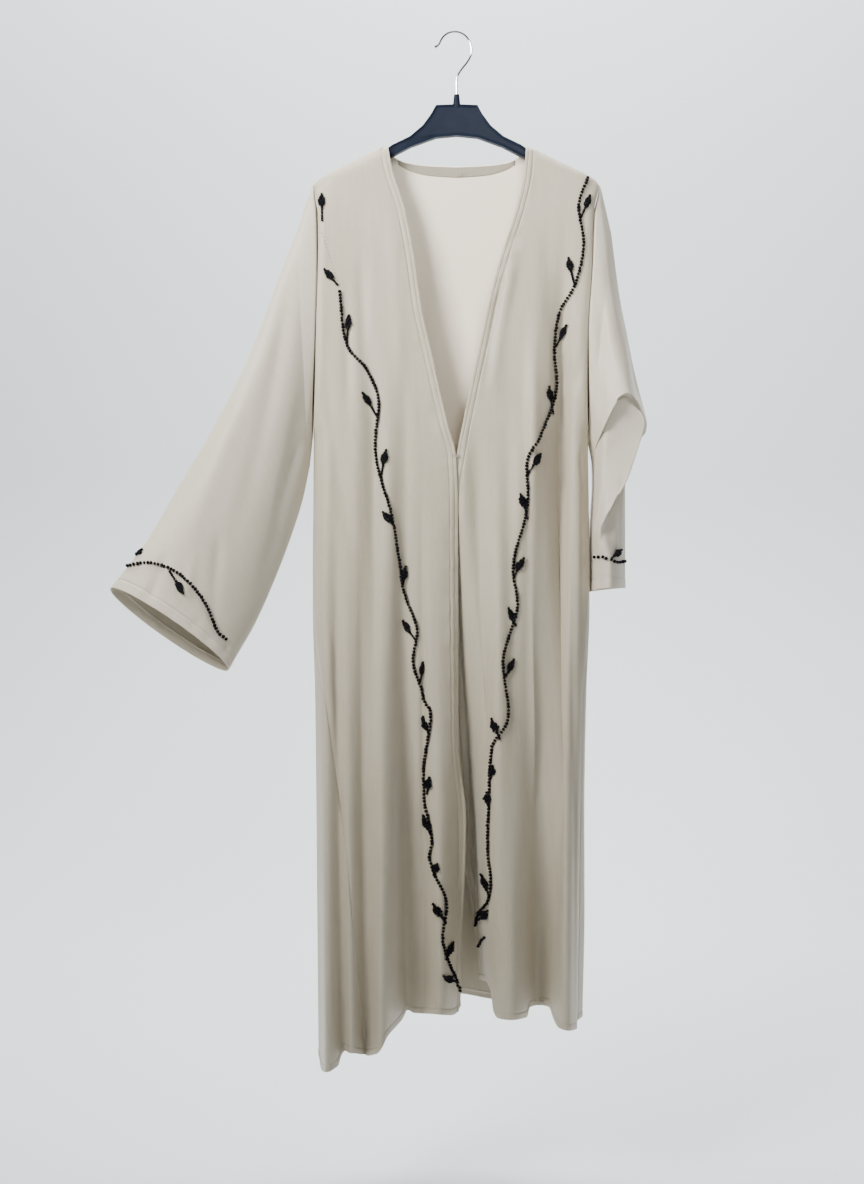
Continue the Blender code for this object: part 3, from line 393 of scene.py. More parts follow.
def hang_depth(folds: Table, flat_y: float, x: np.ndarray, drop: float) -> np.ndarray:
    """Depth of a panel: flat by the shoulders, folded towards the hem, round at the sides.

    Args:
        folds: the panel's fold lines.
        flat_y: the depth where it hangs flat.
        x: places across.
        drop: how far down.

    Returns:
        Y at each place.
    """
    down = (drop - FOLDS_START) / (FOLDS_END - FOLDS_START)
    grown = min(max(down, 0.0), 1.1) ** FOLD_GROWTH
    down = min(max(down, 0.0), 1.0)
    places = folds.columns["x_top"] * (1 - down) + folds.columns["x_hem"] * down
    depth = flat_y * (1 - grown) + through(places, folds.columns["y_hem"], x) * grown
    left = float(BODY.at("left", drop))
    right = float(BODY.at("right", drop))
    across = (x - left) / (right - left)
    side = BODY.at("side_left", drop) * (1 - across) + BODY.at("side_right", drop) * across
    inside = np.minimum(x - left, right - x)
    turned = np.sqrt(1 - (1 - np.clip(inside / SIDE_ROLL, 0, 1)) ** 2)
    held = armhole_open(drop)
    rolled = held + (1 - held) * turned
    below = np.clip((drop - shoulder_drop(x)) / SHOULDER_ROLL, 0, 1)
    return (side + (depth - side) * rolled) * np.sqrt(1 - (1 - below) ** 2)


def overlap_step(x: np.ndarray, drop: float) -> np.ndarray:
    """How far each front stands off the other, near the left one's edge."""
    near = np.clip(1 - np.abs(x - LEFT_EDGE.at("x", drop)) / 0.07, 0, 1)
    return 0.0015 * near * min(max((drop - 0.52) / 0.10, 0.0), 1.0)


def left_depth(x: np.ndarray, drop: float) -> np.ndarray:
    """Y of the left front."""
    return hang_depth(LEFT_FOLDS, -float(BODY.at("front", drop)), x, drop) - overlap_step(x, drop)


def right_depth(x: np.ndarray, drop: float) -> np.ndarray:
    """Y of the right front."""
    return hang_depth(RIGHT_FOLDS, -float(BODY.at("front", drop)), x, drop) + overlap_step(x, drop)


def back_depth(x: np.ndarray, drop: float) -> np.ndarray:
    """Y of the back."""
    return hang_depth(BACK_FOLDS, float(BODY.at("back", drop)), x, drop)


def left_bound(drop: float) -> float:
    """The left front's outer side: the armhole, then the side seam."""
    return float(BODY.at("left", drop) if drop < UNDERARM else LEFT_SEAM.at("x", drop))


def right_bound(drop: float) -> float:
    """The right front's outer side: the armhole, then the side seam."""
    return float(BODY.at("right", drop) if drop < UNDERARM else RIGHT_SEAM.at("x", drop))


def stretch(
    start: float, end: float, count: int, depth: Callable, drop: float, both_ends: bool = False
) -> np.ndarray:
    """A section from one x to another, closer together where it turns round a side.

    Args:
        start: the first x, at the side.
        end: the last x.
        count: how many points.
        depth: gives Y for places across and a drop.
        drop: how far down the section lies.
        both_ends: closer together at the last x too.

    Returns:
        Points (x, y), one a row.
    """
    t = np.linspace(0, 1, count)
    eased = (1 - np.cos(math.pi * t)) / 2 if both_ends else 1 - np.cos(math.pi / 2 * t)
    x = start + (end - start) * eased
    return np.stack([x, depth(x, drop)], axis=1)


def left_section(drop: float) -> np.ndarray:
    """The left front's section, from its outer side to its edge."""
    return stretch(left_bound(drop), float(LEFT_EDGE.at("x", drop)), 400, left_depth, drop)


def right_section(drop: float) -> np.ndarray:
    """The right front's section, from its outer side to its edge."""
    return stretch(right_bound(drop), float(RIGHT_EDGE.at("x", drop)), 400, right_depth, drop)


def back_section(drop: float) -> np.ndarray:
    """The back's section from left to right, with what it wraps round to the front."""
    left = float(BODY.at("left", drop))
    right = float(BODY.at("right", drop))
    parts = []
    if left_bound(drop) > left + 1e-5:
        parts.append(stretch(left, left_bound(drop), 160, left_depth, drop)[::-1])
    parts.append(stretch(left, right, 700, back_depth, drop, both_ends=True))
    if right_bound(drop) < right - 1e-5:
        parts.append(stretch(right, right_bound(drop), 160, right_depth, drop))
    return np.concatenate(parts)


def back_top(x: float) -> float:
    """The back's upper line: the shoulder seams with the neckline between them."""
    if abs(x) > BACK_NECK.keys[-1]:
        return float(shoulder_drop(x))
    return float(BACK_NECK.at("drop", abs(x)))


def hem_at(hem: Table, x: float, y: float) -> float:
    """The hem's drop under a place, from its line as it is measured on the plane through the hook.

    Args:
        hem: the line, as places across and drops.
        x: the place across.
        y: its depth.

    Returns:
        The drop there.
    """
    nearer = (EYE_AWAY + y) / EYE_AWAY
    across = EYE_X + (x - EYE_X) / nearer
    return EYE_DROP + (float(hem.at("drop", across)) - EYE_DROP) * nearer


def left_hem(x: float, y: float) -> float:
    """The left front's hem."""
    return hem_at(LEFT_HEM, x, y)


def right_hem(x: float, y: float) -> float:
    """The right front's hem."""
    return hem_at(RIGHT_HEM, x, y)


def back_hem(x: float, y: float) -> float:
    """The back's hem, which follows the fronts' where it has wrapped round to them."""
    plain = float(through(BACK_FOLDS.columns["x_hem"], BACK_FOLDS.columns["hem_drop"], x))
    wrapped = left_hem(x, y) if x < 0 else right_hem(x, y)
    return plain + (wrapped - plain) * float(smooth_step(0.045, 0.085, -y))


ROLL_ROWS = (
    0, 0.0008, 0.0016, 0.0030, 0.0055, 0.0085, 0.012, 0.016, 0.021, 0.028, 0.036, 0.047, 0.060, 0.075, 0.090
)
TURN_ROWS = (
    0.030, 0.026, 0.022, 0.019, 0.0165, 0.0145, 0.0133, 0.0125, 0.0118, 0.0110, 0.0098, 0.0080, 0.0066,
    0.0059, 0.0053, 0.0048, 0.0043, 0.0037, 0.0024, 0.0012, 0.0,
)
EDGE_STITCH = 0.0118
EDGE_FOLD = 0.0048
HEM_STITCH = 0.0092


def uneven(at: np.ndarray, spacing: float, seed: int) -> np.ndarray:
    """Smooth uneven values from -1 to 1 along a line.

    Args:
        at: places along the line, in metres.
        spacing: the mean distance from one swell to the next.
        seed: names the run of values.

    Returns:
        A value for each place.
    """
    draws = np.random.default_rng(seed)
    at = np.asarray(at, float)
    count = int((at.max() - at.min()) / spacing) + 4
    keys = at.min() - spacing + np.cumsum(draws.uniform(0.5, 1.5, count)) * spacing
    keys = np.append(keys, at.max() + 2 * spacing) if keys[-1] < at.max() else keys
    return through(keys, draws.uniform(-1, 1, len(keys)), at)


def swell(distance: np.ndarray, width: float) -> np.ndarray:
    """1 on a line, falling softly to 0 a few widths off."""
    return np.exp(-((distance / width) ** 2))


def smooth_step(low: float, high: float, at: np.ndarray) -> np.ndarray:
    """0 below low, 1 above high and soft between."""
    t = np.clip((np.asarray(at, float) - low) / (high - low), 0, 1)
    return t * t * (3 - 2 * t)


@dataclass(frozen=True)
class Crease:
    """A soft trough or ridge between two places on the front view."""

    x: float
    drop: float
    x_end: float
    drop_end: float
    width: float
    depth: float
    bow: float = 0.0
    way: Way = Way.TROUGH

    def amount(self, x: np.ndarray, drop: np.ndarray) -> np.ndarray:
        """How far the crease moves the cloth at each place.

        Args:
            x: places across.
            drop: places down.

        Returns:
            Metres along the normal.
        """
        run = np.array([self.x_end - self.x, self.drop_end - self.drop])
        length = float(np.hypot(*run))
        run = run / length
        along = ((x - self.x) * run[0] + (drop - self.drop) * run[1]) / length
        aside = (x - self.x) * -run[1] + (drop - self.drop) * run[0]
        aside = aside - self.bow * 4 * np.clip(along, 0, 1) * (1 - np.clip(along, 0, 1))
        ends = smooth_step(-0.05, 0.30, along) * (1 - smooth_step(0.65, 1.05, along))
        sway = 1 + 0.25 * np.sin(along * 9.0 + self.x * 60)
        return self.way.value * self.depth * swell(aside, self.width) * ends * sway


@dataclass
class Sheet:
    """A grid of cloth points by row and column, with its distances to its own edges."""

    points: np.ndarray
    outward: int
    closed: bool = False
    to_edge: Optional[np.ndarray] = None
    to_hem: Optional[np.ndarray] = None
    to_side: Optional[np.ndarray] = None

    @property
    def x(self) -> np.ndarray:
        """Every point's place across."""
        return self.points[:, :, 0]

    @property
    def drop(self) -> np.ndarray:
        """Every point's place down."""
        return -self.points[:, :, 2]

    def normals(self) -> np.ndarray:
        """Outward normals, one a point."""
        down = np.gradient(self.points, axis=0)
        if self.closed:
            across = np.roll(self.points, -1, axis=1) - np.roll(self.points, 1, axis=1)
        else:
            across = np.gradient(self.points, axis=1)
        normal = np.cross(down, across) * self.outward
        return normal / np.maximum(np.linalg.norm(normal, axis=2, keepdims=True), 1e-12)

    def push(self, amount: np.ndarray) -> None:
        """Moves every point along its normal."""
        self.points = self.points + self.normals() * amount[:, :, None]

    def crease(self, creases: Iterable[Crease], mask: np.ndarray | float = 1.0) -> None:
        """Lays creases into the sheet, where the mask lets them."""
        total = sum(crease.amount(self.x, self.drop) for crease in creases)
        self.push(total * mask)

    def faces(self) -> list[tuple[int, ...]]:
        """Quads of the grid that face outwards."""
        rows, columns = self.points.shape[:2]
        made = []
        for i in range(rows - 1):
            for j in range(columns if self.closed else columns - 1):
                k = (j + 1) % columns
                quad = (i * columns + j, (i + 1) * columns + j, (i + 1) * columns + k, i * columns + k)
                made.append(quad if self.outward > 0 else quad[::-1])
        return made

    def shell(self, name: str, thick: float = WALL) -> bpy.types.Object:
        """The sheet as a thin closed shell.

        Args:
            name: the piece's name.
            thick: the cloth's thickness.

        Returns:
            The object, linked to the scene.
        """
        piece = mesh_object(name, self.points.reshape(-1, 3), self.faces())
        wall = piece.modifiers.new("wall", "SOLIDIFY")
        wall.thickness = thick
        wall.offset = 0
        return piece

    def tree(self) -> BVHTree:
        """The sheet's faces, for laying things on them."""
        points = [Vector(point) for point in self.points.reshape(-1, 3)]
        return BVHTree.FromPolygons(points, self.faces())


def mesh_object(
    name: str, points: Sequence[Sequence[float]], faces: Sequence[Sequence[int]], smooth: bool = True
) -> bpy.types.Object:
    """A mesh object in the scene.

    Args:
        name: the object's and its mesh's name.
        points: vertices.
        faces: vertex numbers of each face.
        smooth: shaded smooth.

    Returns:
        The object.
    """
    mesh = bpy.data.meshes.new(name)
    mesh.from_pydata([tuple(map(float, point)) for point in points], [], [tuple(face) for face in faces])
    mesh.polygons.foreach_set("use_smooth", [smooth] * len(mesh.polygons))
    mesh.update()
    piece = bpy.data.objects.new(name, mesh)
    bpy.context.scene.collection.objects.link(piece)
    return piece


def panel(
    section: Section, cells: int, turned_edge: bool, top: Callable, hem: Callable, rows: int, trim: float
) -> Sheet:
    """Lofts a panel from its sections between its top line and its hem.

    Args:
        section: gives the points across at a drop, from the outer side.
        cells: columns over the plain part.
        turned_edge: finer columns beside the last edge, for its turned hem.
        top: the top line's drop at an x.
        hem: the hem's drop at an x and y.
        rows: rows over the plain part.
        trim: what is cut off each side for the seams.

    Returns:
        The panel, not yet creased.
    """
    drops = np.concatenate([np.linspace(0.170, 0.262, 60), np.linspace(0.266, 1.525, 240)])
    levels = []
    lengths = []
    for drop in drops:
        points = section(float(drop))
        length = length_of(points)
        if turned_edge:
            plain = np.linspace(trim, length - TURN_ROWS[0], cells)[:-1]
            wanted = np.concatenate([plain, length - trim - np.array(TURN_ROWS)])
        else:
            wanted = np.linspace(trim, length - trim, cells)
        levels.append(spread(points, wanted))
        lengths.append(np.stack([wanted, length - wanted]))
    levels = np.array(levels)
    lengths = np.array(lengths)
    columns = levels.shape[1]
    near = np.array(ROLL_ROWS)
    last = np.array(TURN_ROWS)
    grid = np.zeros((len(near) + rows + len(last), columns, 3))
    to_side = np.zeros(grid.shape[:2])
    to_edge = np.zeros(grid.shape[:2])
    to_hem = np.zeros(grid.shape[:2])
    hem_level = int(np.searchsorted(drops, 1.47))
    rolled = int(np.searchsorted(near, 0.008))
    turned = np.sqrt(1 - (1 - near[: rolled + 1] / SHOULDER_ROLL) ** 2)
    for j in range(columns):
        top_x = float(np.interp(SHOULDER_POINT, drops, levels[:, j, 0]))
        top_drop = float(top(top_x))
        hem_drop = hem(levels[hem_level, j, 0], levels[hem_level, j, 1])
        plain = np.linspace(near[-1], hem_drop - top_drop - last[0], rows + 2)[1:-1]
        down = top_drop + np.concatenate([near, plain, hem_drop - top_drop - last])
        grid[:, j, 0] = np.interp(down, drops, levels[:, j, 0])
        grid[:, j, 1] = np.interp(down, drops, levels[:, j, 1])
        grid[:, j, 2] = -down
        if abs(top_x) > BACK_NECK.keys[-1]:
            grid[:rolled, j, 1] = grid[rolled, j, 1] * turned[:-1] / turned[-1]
        to_side[:, j] = np.interp(down, drops, lengths[:, 0, j])
        to_edge[:, j] = np.interp(down, drops, lengths[:, 1, j])
        to_hem[:, j] = hem_drop - down
    return Sheet(grid, outward=1, to_edge=to_edge, to_hem=to_hem, to_side=to_side)


def turned_hem(distance: np.ndarray, stitch: float) -> np.ndarray:
    """Relief of a narrow turned hem: a little proud up to its stitch line, which is sunk.

    Args:
        distance: how far each point is from the edge.
        stitch: how far the stitch line is from it.

    Returns:
        Metres along the normal.
    """
    proud = 1 - smooth_step(stitch, stitch + 0.0012, distance)
    return 0.0005 * proud - 0.0014 * swell(distance - stitch, 0.0011)


def puckers(
    distance: np.ndarray, along: np.ndarray, stitch: float, reach: float, high: float, seed: int
) -> np.ndarray:
    """Puckers across a stitch line, uneven in height and spacing.

    Args:
        distance: how far each point is from the edge.
        along: how far along the line each point is.
        stitch: how far the stitch line is from the edge.
        reach: how far the puckers run out from the line.
        high: their greatest height.
        seed: names their pattern.

    Returns:
        Metres along the normal.
    """
    spacing = 0.0062
    flat = along.reshape(-1)
    wave = uneven(flat, spacing, seed) * (0.6 + 0.4 * uneven(flat, 0.05, seed + 1))
    aside = distance - stitch
    across = swell(aside, reach) * (1 - 0.45 * swell(aside, 0.002))
    return high * wave.reshape(along.shape) * across


Colour = tuple[float, float, float]


class Value:
    """A shader socket that takes part in Python sums."""

    def __init__(self, shader: "Shader", socket: bpy.types.NodeSocket) -> None:
        """Keeps the socket and the shader that it belongs to."""
        self.shader = shader
        self.socket = socket

    def _sum(self, operation: str, first: "Number", second: "Number") -> "Value":
        """A Math node on two numbers."""
        return self.shader.node("ShaderNodeMath", {"operation": operation}, {0: first, 1: second})

    def __add__(self, other: "Number") -> "Value":
        """self + other."""
        return self._sum("ADD", self, other)

    def __radd__(self, other: "Number") -> "Value":
        """other + self."""
        return self._sum("ADD", other, self)

    def __sub__(self, other: "Number") -> "Value":
        """self - other."""
        return self._sum("SUBTRACT", self, other)

    def __rsub__(self, other: "Number") -> "Value":
        """other - self."""
        return self._sum("SUBTRACT", other, self)

    def __mul__(self, other: "Number") -> "Value":
        """self * other."""
        return self._sum("MULTIPLY", self, other)

    def __rmul__(self, other: "Number") -> "Value":
        """other * self."""
        return self._sum("MULTIPLY", other, self)

    def __pow__(self, other: "Number") -> "Value":
        """self to the power of other."""
        return self._sum("POWER", self, other)


Number = float | Value


class Shader:
    """One node material in the making."""

    def __init__(self, name: str) -> None:
        """Starts an empty material with its output and its Principled shader."""
        self.material = bpy.data.materials.new(name)
        self.material.use_nodes = True
        self.tree = self.material.node_tree
        self.tree.nodes.clear()
        self.output = self.tree.nodes.new("ShaderNodeOutputMaterial")
        self.surface = self.tree.nodes.new("ShaderNodeBsdfPrincipled")
        self.tree.links.new(self.surface.outputs[0], self.output.inputs["Surface"])

    def feed(self, socket: bpy.types.NodeSocket, value: object) -> None:
        """Sets a socket to a number or colour, or links a value to it."""
        if isinstance(value, Value):
            self.tree.links.new(value.socket, socket)
        else:
            socket.default_value = value

    def node(
        self, kind: str, settings: dict[str, object], inputs: dict[int | str, object], output: int | str = 0
    ) -> Value:
        """Makes any node.

        Args:
            kind: the node's type.
            settings: its properties, set first. "stops" are a ramp's (place, colour) pairs.
            inputs: the values or links of its sockets.
            output: the socket that is returned.

        Returns:
            The output socket as a value.
        """
        made = self.tree.nodes.new(kind)
        for name, value in settings.items():
            if name == "stops":
                self._stops(made.color_ramp, value)
            else:
                setattr(made, name, value)
        for name, value in inputs.items():
            self.feed(made.inputs[name], value)
        return Value(self, made.outputs[output])

    @staticmethod
    def _stops(ramp: bpy.types.ColorRamp, stops: Sequence[tuple[float, float]]) -> None:
        """Sets a ramp's stops to greys at places."""
        while len(ramp.elements) > len(stops):
            ramp.elements.remove(ramp.elements[-1])
        while len(ramp.elements) < len(stops):
            ramp.elements.new(1.0)
        for element, (place, grey) in zip(ramp.elements, stops):
            element.position = place
            element.color = (grey, grey, grey, 1)

    def place(self, scale: Sequence[float], turn: float = 0.0) -> Value:
        """Object coordinates, turned about Y and stretched."""
        here = self.node("ShaderNodeTexCoord", {}, {}, "Object")
        turned = self.node(
            "ShaderNodeVectorRotate", {"rotation_type": "Y_AXIS"}, {"Vector": here, "Angle": turn}
        )
        return self.node(
            "ShaderNodeVectorMath", {"operation": "MULTIPLY"}, {0: turned, 1: tuple(scale)}
        )

    def noise(self, where: Value, scale: float, detail: float = 2.0) -> Value:
        """Soft noise from 0 to 1."""
        return self.node("ShaderNodeTexNoise", {}, {"Vector": where, "Scale": scale, "Detail": detail})

    def blend(self, factor: Number, first: object, second: object) -> Value:
        """A colour between two."""
        inputs = {"Factor": factor, 6: first, 7: second}
        return self.node("ShaderNodeMix", {"data_type": "RGBA"}, inputs, 2)

    def ramp(self, factor: Value, stops: Sequence[tuple[float, float]]) -> Value:
        """A number read through a ramp of greys."""
        return self.node("ShaderNodeValToRGB", {"stops": stops}, {"Fac": factor})

    def bump(self, height: Value, distance: float, strength: float) -> None:
        """Feeds a height to the surface's normal."""
        made = self.node(
            "ShaderNodeBump", {}, {"Height": height, "Distance": distance, "Strength": strength}
        )
        self.feed(self.surface.inputs["Normal"], made)

    def set(self, **sockets: object) -> None:
        """Feeds sockets of the Principled shader, named with underscores for spaces."""
        for name, value in sockets.items():
            self.feed(self.surface.inputs[name.replace("_", " ")], value)


def opaque(colour: Colour) -> tuple[float, float, float, float]:
    """The colour with full alpha."""
    return (*colour, 1.0)


@dataclass(frozen=True)
class CrepeFinish:
    """Soft satin crepe: fine ribs one way, crinkled a little, uneven in shade."""

    name: str
    colour: Colour = (0.495, 0.440, 0.335)
    shade: Colour = (0.420, 0.366, 0.266)
    rib: float = 0.0011
    turn: float = 0.0
    crinkle: float = 0.0
    roughness: float = 0.50
    sheen: float = 0.30
    # Painted light: how strongly the part above a drop of 0.64 m is blended towards a pale warm colour,
    # fading out by 0.78 m; 0 leaves the colour plain.
    painted_light: float = 0.0

    def material(self) -> bpy.types.Material:
        """The node material."""
        shader = Shader(self.name)
        along = shader.place((1.0, 1.0, 0.06), self.turn)
        ribs = shader.noise(along, 1 / self.rib, 3.0)
        slub = shader.noise(shader.place((1.0, 1.0, 0.12), self.turn), 160.0, 2.0)
        cloud = shader.noise(shader.place((1.0, 1.0, 0.5)), 9.0, 3.0)
        grain = shader.noise(shader.place((1.0, 1.0, 1.0)), 1500.0, 2.0)
        tone = ribs * 0.30 + slub * 0.25 + cloud * 0.45
        mask = shader.ramp(tone, ((0.34, 0.0), (0.66, 1.0)))
        low = shader.node("ShaderNodeSeparateXYZ", {}, {"Vector": shader.place((1.0, 1.0, -1.0))}, 2)
        cloth = shader.blend(mask, opaque(self.colour), opaque(self.shade))
        # Painted light: above a drop of 0.64 m the colour is blended towards a pale warm colour, fading out
        # by 0.78 m. This paints the light that brightens the inside of the back.
        if self.painted_light:
            painted_light_mask = shader.ramp(low, ((0.64, self.painted_light), (0.78, 0.0)))
            cloth = shader.blend(painted_light_mask, cloth, (0.96, 0.855, 0.680, 1.0))
        height = ribs * 0.7 + grain * 0.3
        if self.crinkle:
            cross = shader.noise(shader.place((0.25, 1.0, 1.0), self.turn), 420.0, 2.0)
            height = height + cross * self.crinkle
        shader.set(
            Base_Color=cloth,
            Roughness=self.roughness + (ribs - 0.5) * 0.25,
            Sheen_Weight=self.sheen,
            Sheen_Roughness=0.45,
            Sheen_Tint=(1.0, 0.96, 0.90, 1.0),
            Specular_IOR_Level=0.42,
        )
        shader.bump(height, 0.00022, 0.55)
        return shader.material


@dataclass(frozen=True)
class BeadFinish:
    """Faceted black beads."""

    name: str
    colour: Colour = (0.003, 0.003, 0.004)
    roughness: float = 0.34

    def material(self) -> bpy.types.Material:
        """The node material."""
        shader = Shader(self.name)
        dust = shader.noise(shader.place((1.0, 1.0, 1.0)), 700.0, 2.0)
        lit = tuple(min(1.0, channel * 1.9 + 0.002) for channel in self.colour)
        shader.set(
            Base_Color=shader.blend(dust, opaque(self.colour), opaque(lit)),
            Roughness=self.roughness + dust * 0.16,
            Specular_IOR_Level=0.06,
        )
        return shader.material


@dataclass(frozen=True)
class PlasticFinish:
    """Moulded satin plastic with a fine orange-peel."""

    name: str
    colour: Colour = (0.007, 0.010, 0.018)
    roughness: float = 0.34

    def material(self) -> bpy.types.Material:
        """The node material."""
        shader = Shader(self.name)
        peel = shader.noise(shader.place((1.0, 1.0, 1.0)), 900.0, 2.0)
        worn = shader.noise(shader.place((1.0, 1.0, 1.0)), 60.0, 4.0)
        lit = tuple(channel * 1.7 for channel in self.colour)
        shader.set(
            Base_Color=shader.blend(worn, opaque(self.colour), opaque(lit)),
            Roughness=self.roughness + (worn - 0.5) * 0.18,
            Specular_IOR_Level=0.06,
        )
        shader.bump(peel, 0.00010, 0.30)
        return shader.material


@dataclass(frozen=True)
class WireFinish:
    """Bright plated wire with fine drawing marks."""

    name: str
    colour: Colour = (0.46, 0.47, 0.49)
    roughness: float = 0.12

    def material(self) -> bpy.types.Material:
        """The node material."""
        shader = Shader(self.name)
        drawn = shader.noise(shader.place((1.0, 1.0, 0.2)), 2600.0, 3.0)
        dull = shader.noise(shader.place((1.0, 1.0, 1.0)), 180.0, 3.0)
        shade = tuple(channel * 0.82 for channel in self.colour)
        shader.set(
            Base_Color=shader.blend(dull, opaque(self.colour), opaque(shade)),
            Metallic=1.0,
            Roughness=self.roughness + dull * 0.14,
        )
        shader.bump(drawn, 0.00005, 0.25)
        return shader.material


@dataclass(frozen=True)
class ThreadFinish:
    """Twisted sewing thread."""

    name: str
    colour: Colour = (0.47, 0.41, 0.34)

    def material(self) -> bpy.types.Material:
        """The node material."""
        shader = Shader(self.name)
        ply = shader.noise(shader.place((1.0, 1.0, 1.0)), 3200.0, 2.0)
        shade = tuple(channel * 0.78 for channel in self.colour)
        shader.set(
            Base_Color=shader.blend(ply, opaque(self.colour), opaque(shade)),
            Roughness=0.62 + (ply - 0.5) * 0.2,
            Sheen_Weight=0.2,
        )
        shader.bump(ply, 0.00008, 0.4)
        return shader.material


@dataclass(frozen=True)
class StudioFinish:
    """Pale painted studio floor and wall."""

    name: str
    colour: Colour = (0.86, 0.89, 0.91)

    def material(self) -> bpy.types.Material:
        """The node material."""
        shader = Shader(self.name)
        cloud = shader.noise(shader.place((1.0, 1.0, 1.0)), 0.8, 2.0)
        shade = tuple(channel * 0.975 for channel in self.colour)
        shader.set(
            Base_Color=shader.blend(cloud, opaque(self.colour), opaque(shade)),
            Roughness=0.75 + (cloud - 0.5) * 0.1,
            Specular_IOR_Level=0.2,
        )
        return shader.material


def dress(piece: bpy.types.Object, material: bpy.types.Material) -> None:
    """Gives a piece one material."""
    piece.data.materials.clear()
    piece.data.materials.append(material)


def sew_side(made: Sheet, near: np.ndarray, relief: np.ndarray, armhole_deep: float) -> None:
    """Pushes a panel's relief into it, with a soft groove along the seam that its neighbour shares.

    Args:
        made: the panel.
        near: how far each point is from the side seam.
        relief: the relief along the normal.
        armhole_deep: how deep the groove is along the armhole.
    """
    armhole = made.drop < UNDERARM
    groove = swell(near, 0.0042)
    faded = relief * np.where(armhole, 1.0, smooth_step(0.0, 0.006, near))
    made.push(faded - np.where(armhole, armhole_deep, 0.0) * groove)
    made.points[:, :, 1] += np.where(armhole, 0.0, 0.0014) * groove


@dataclass
class Front:
    """One front: shaped over the shoulder, turned and stitched down its edge and hem."""

    side: Side
    creases: tuple[Crease, ...]
    puckered: tuple[tuple[float, float], ...]
    cells: int = 104
    rows: int = 214
    high: float = 0.0036

    @property
    def name(self) -> str:
        """The piece's CAD node."""
        return "front_left" if self.side is Side.LEFT else "front_right"

    def sheet(self) -> Sheet:
        """The front's cloth, creased."""
        left = self.side is Side.LEFT
        section = left_section if left else right_section
        hem = left_hem if left else right_hem
        made = panel(section, self.cells, True, shoulder_drop, hem, self.rows, TRIM)
        made.outward = 1 if left else -1
        made.points[0, :, 1] -= SEAM_GAP
        drop = made.drop
        level = np.interp(drop, *zip(*self.puckered))
        seed = 11 if left else 23
        relief = puckers(made.to_edge, drop, EDGE_STITCH, 0.0085, self.high, seed) * level
        relief += turned_hem(made.to_edge, EDGE_STITCH)
        relief -= 0.0009 * swell(made.to_edge - EDGE_FOLD, 0.0005)
        relief += turned_hem(made.to_hem, HEM_STITCH)
        relief += puckers(made.to_hem, made.x, HEM_STITCH, 0.007, 0.0007, seed + 5)
        relief += 0.0006 * swell(made.to_side - 0.011, 0.005)
        sew_side(made, made.to_side, relief, 0.0018)
        made.crease(self.creases, smooth_step(0.001, 0.020, made.to_side))
        if left:
            below = smooth_step(0.66, 0.72, drop) * (1 - smooth_step(1.15, 1.25, drop))
            made.points[:, :, 1] += 0.0034 * below * (1 - smooth_step(0.0, 0.012, made.to_edge))
        return made


@dataclass
class Back:
    """The back: its neckline, shoulders and deep folds, wrapped round to the fronts."""

    creases: tuple[Crease, ...]
    inside: tuple[Crease, ...]
    cells: int = 190
    rows: int = 190

    def sheet(self) -> Sheet:
        """The back's cloth, creased."""
        made = panel(back_section, self.cells, False, back_top, back_hem, self.rows, TRIM)
        made.outward = -1
        made.points[0, :, 1] += SEAM_GAP
        relief = turned_hem(made.to_hem, HEM_STITCH)
        relief += puckers(made.to_hem, made.x, HEM_STITCH, 0.007, 0.0007, 41)
        near = np.minimum(made.to_side, made.to_edge)
        sew_side(made, near, relief, 0.0016)
        made.crease(self.creases + self.inside, smooth_step(0.001, 0.020, near))
        return made


def armhole_ring(side: Side, columns: int) -> np.ndarray:
    """The sleeve's root, beside the armhole edges of the front and back.

    Args:
        side: which sleeve.
        columns: points round the ring.

    Returns:
        The ring's points.
    """
    middle = (SHOULDER_POINT + UNDERARM) / 2
    reach = (UNDERARM - SHOULDER_POINT) / 2
    name = side.name.lower()
    front = left_depth if side is Side.LEFT else right_depth
    ring = []
    for turn in np.linspace(0, 2 * math.pi, columns, endpoint=False):
        drop = middle - reach * math.cos(turn)
        x = float(BODY.at(name, drop))
        depth = front if turn < math.pi else back_depth
        gap = 0.0009 + 0.0006 * ((1 - math.cos(turn)) / 2) ** 6
        ring.append((x + side.value * gap, float(depth(np.array(x), drop)), -drop))
    return np.array(ring)


def left_ring(index: float, columns: int) -> np.ndarray:
    """A ring of the held-out sleeve, with its back edge lower by its tilt."""
    row = LEFT_RINGS.row(index)
    top = np.array([row["top_x"], row["y"], -row["top_drop"]])
    low = np.array([row["low_x"], row["y"], -row["low_drop"]])
    across = (top - low) / np.linalg.norm(top - low)
    outward = np.array([across[2], 0, -across[0]])
    outward = outward if outward[2] < 0 else -outward
    tilt = math.radians(row["tilt"])
    behind = np.array([0, math.cos(tilt), 0]) + outward * math.sin(tilt)
    turns = np.linspace(0, 2 * math.pi, columns, endpoint=False)
    ring = (top + low) / 2 + np.outer(np.cos(turns), (top - low) / 2)
    return ring - np.outer(np.sin(turns), behind) * row["half_depth"]


def right_ring(index: float, columns: int) -> np.ndarray:
    """A ring of the hanging sleeve: a folded front run, then a plain run round its back."""
    row = RIGHT_RINGS.row(index)
    outer = np.array([row["outer_x"], 0, -row["outer_drop"]])
    inner = np.array([row["inner_x"] - 0.0035, 0, -row["inner_drop"]])
    half = columns // 2
    stations = np.linspace(0, 1, 6)
    along = [0, row["facet"], row["crease"], row["edge"], row["face"], 1]
    ahead = [0, row["facet_y"], row["crease_y"], row["edge_y"], row["face_y"], 0]
    t = np.linspace(0, 1, half, endpoint=False)
    front = outer + np.outer(through(stations, along, t), inner - outer)
    front[:, 1] = through(stations, ahead, t)
    front[:, 2] += row["lift"] * np.sin(math.pi * t)
    turn = np.linspace(math.pi, 2 * math.pi, half, endpoint=False)
    back = (outer + inner) / 2 + np.outer(np.cos(turn), (outer - inner) / 2)
    back[:, 1] = -row["back"] * np.sin(turn)
    return np.concatenate([front, back])


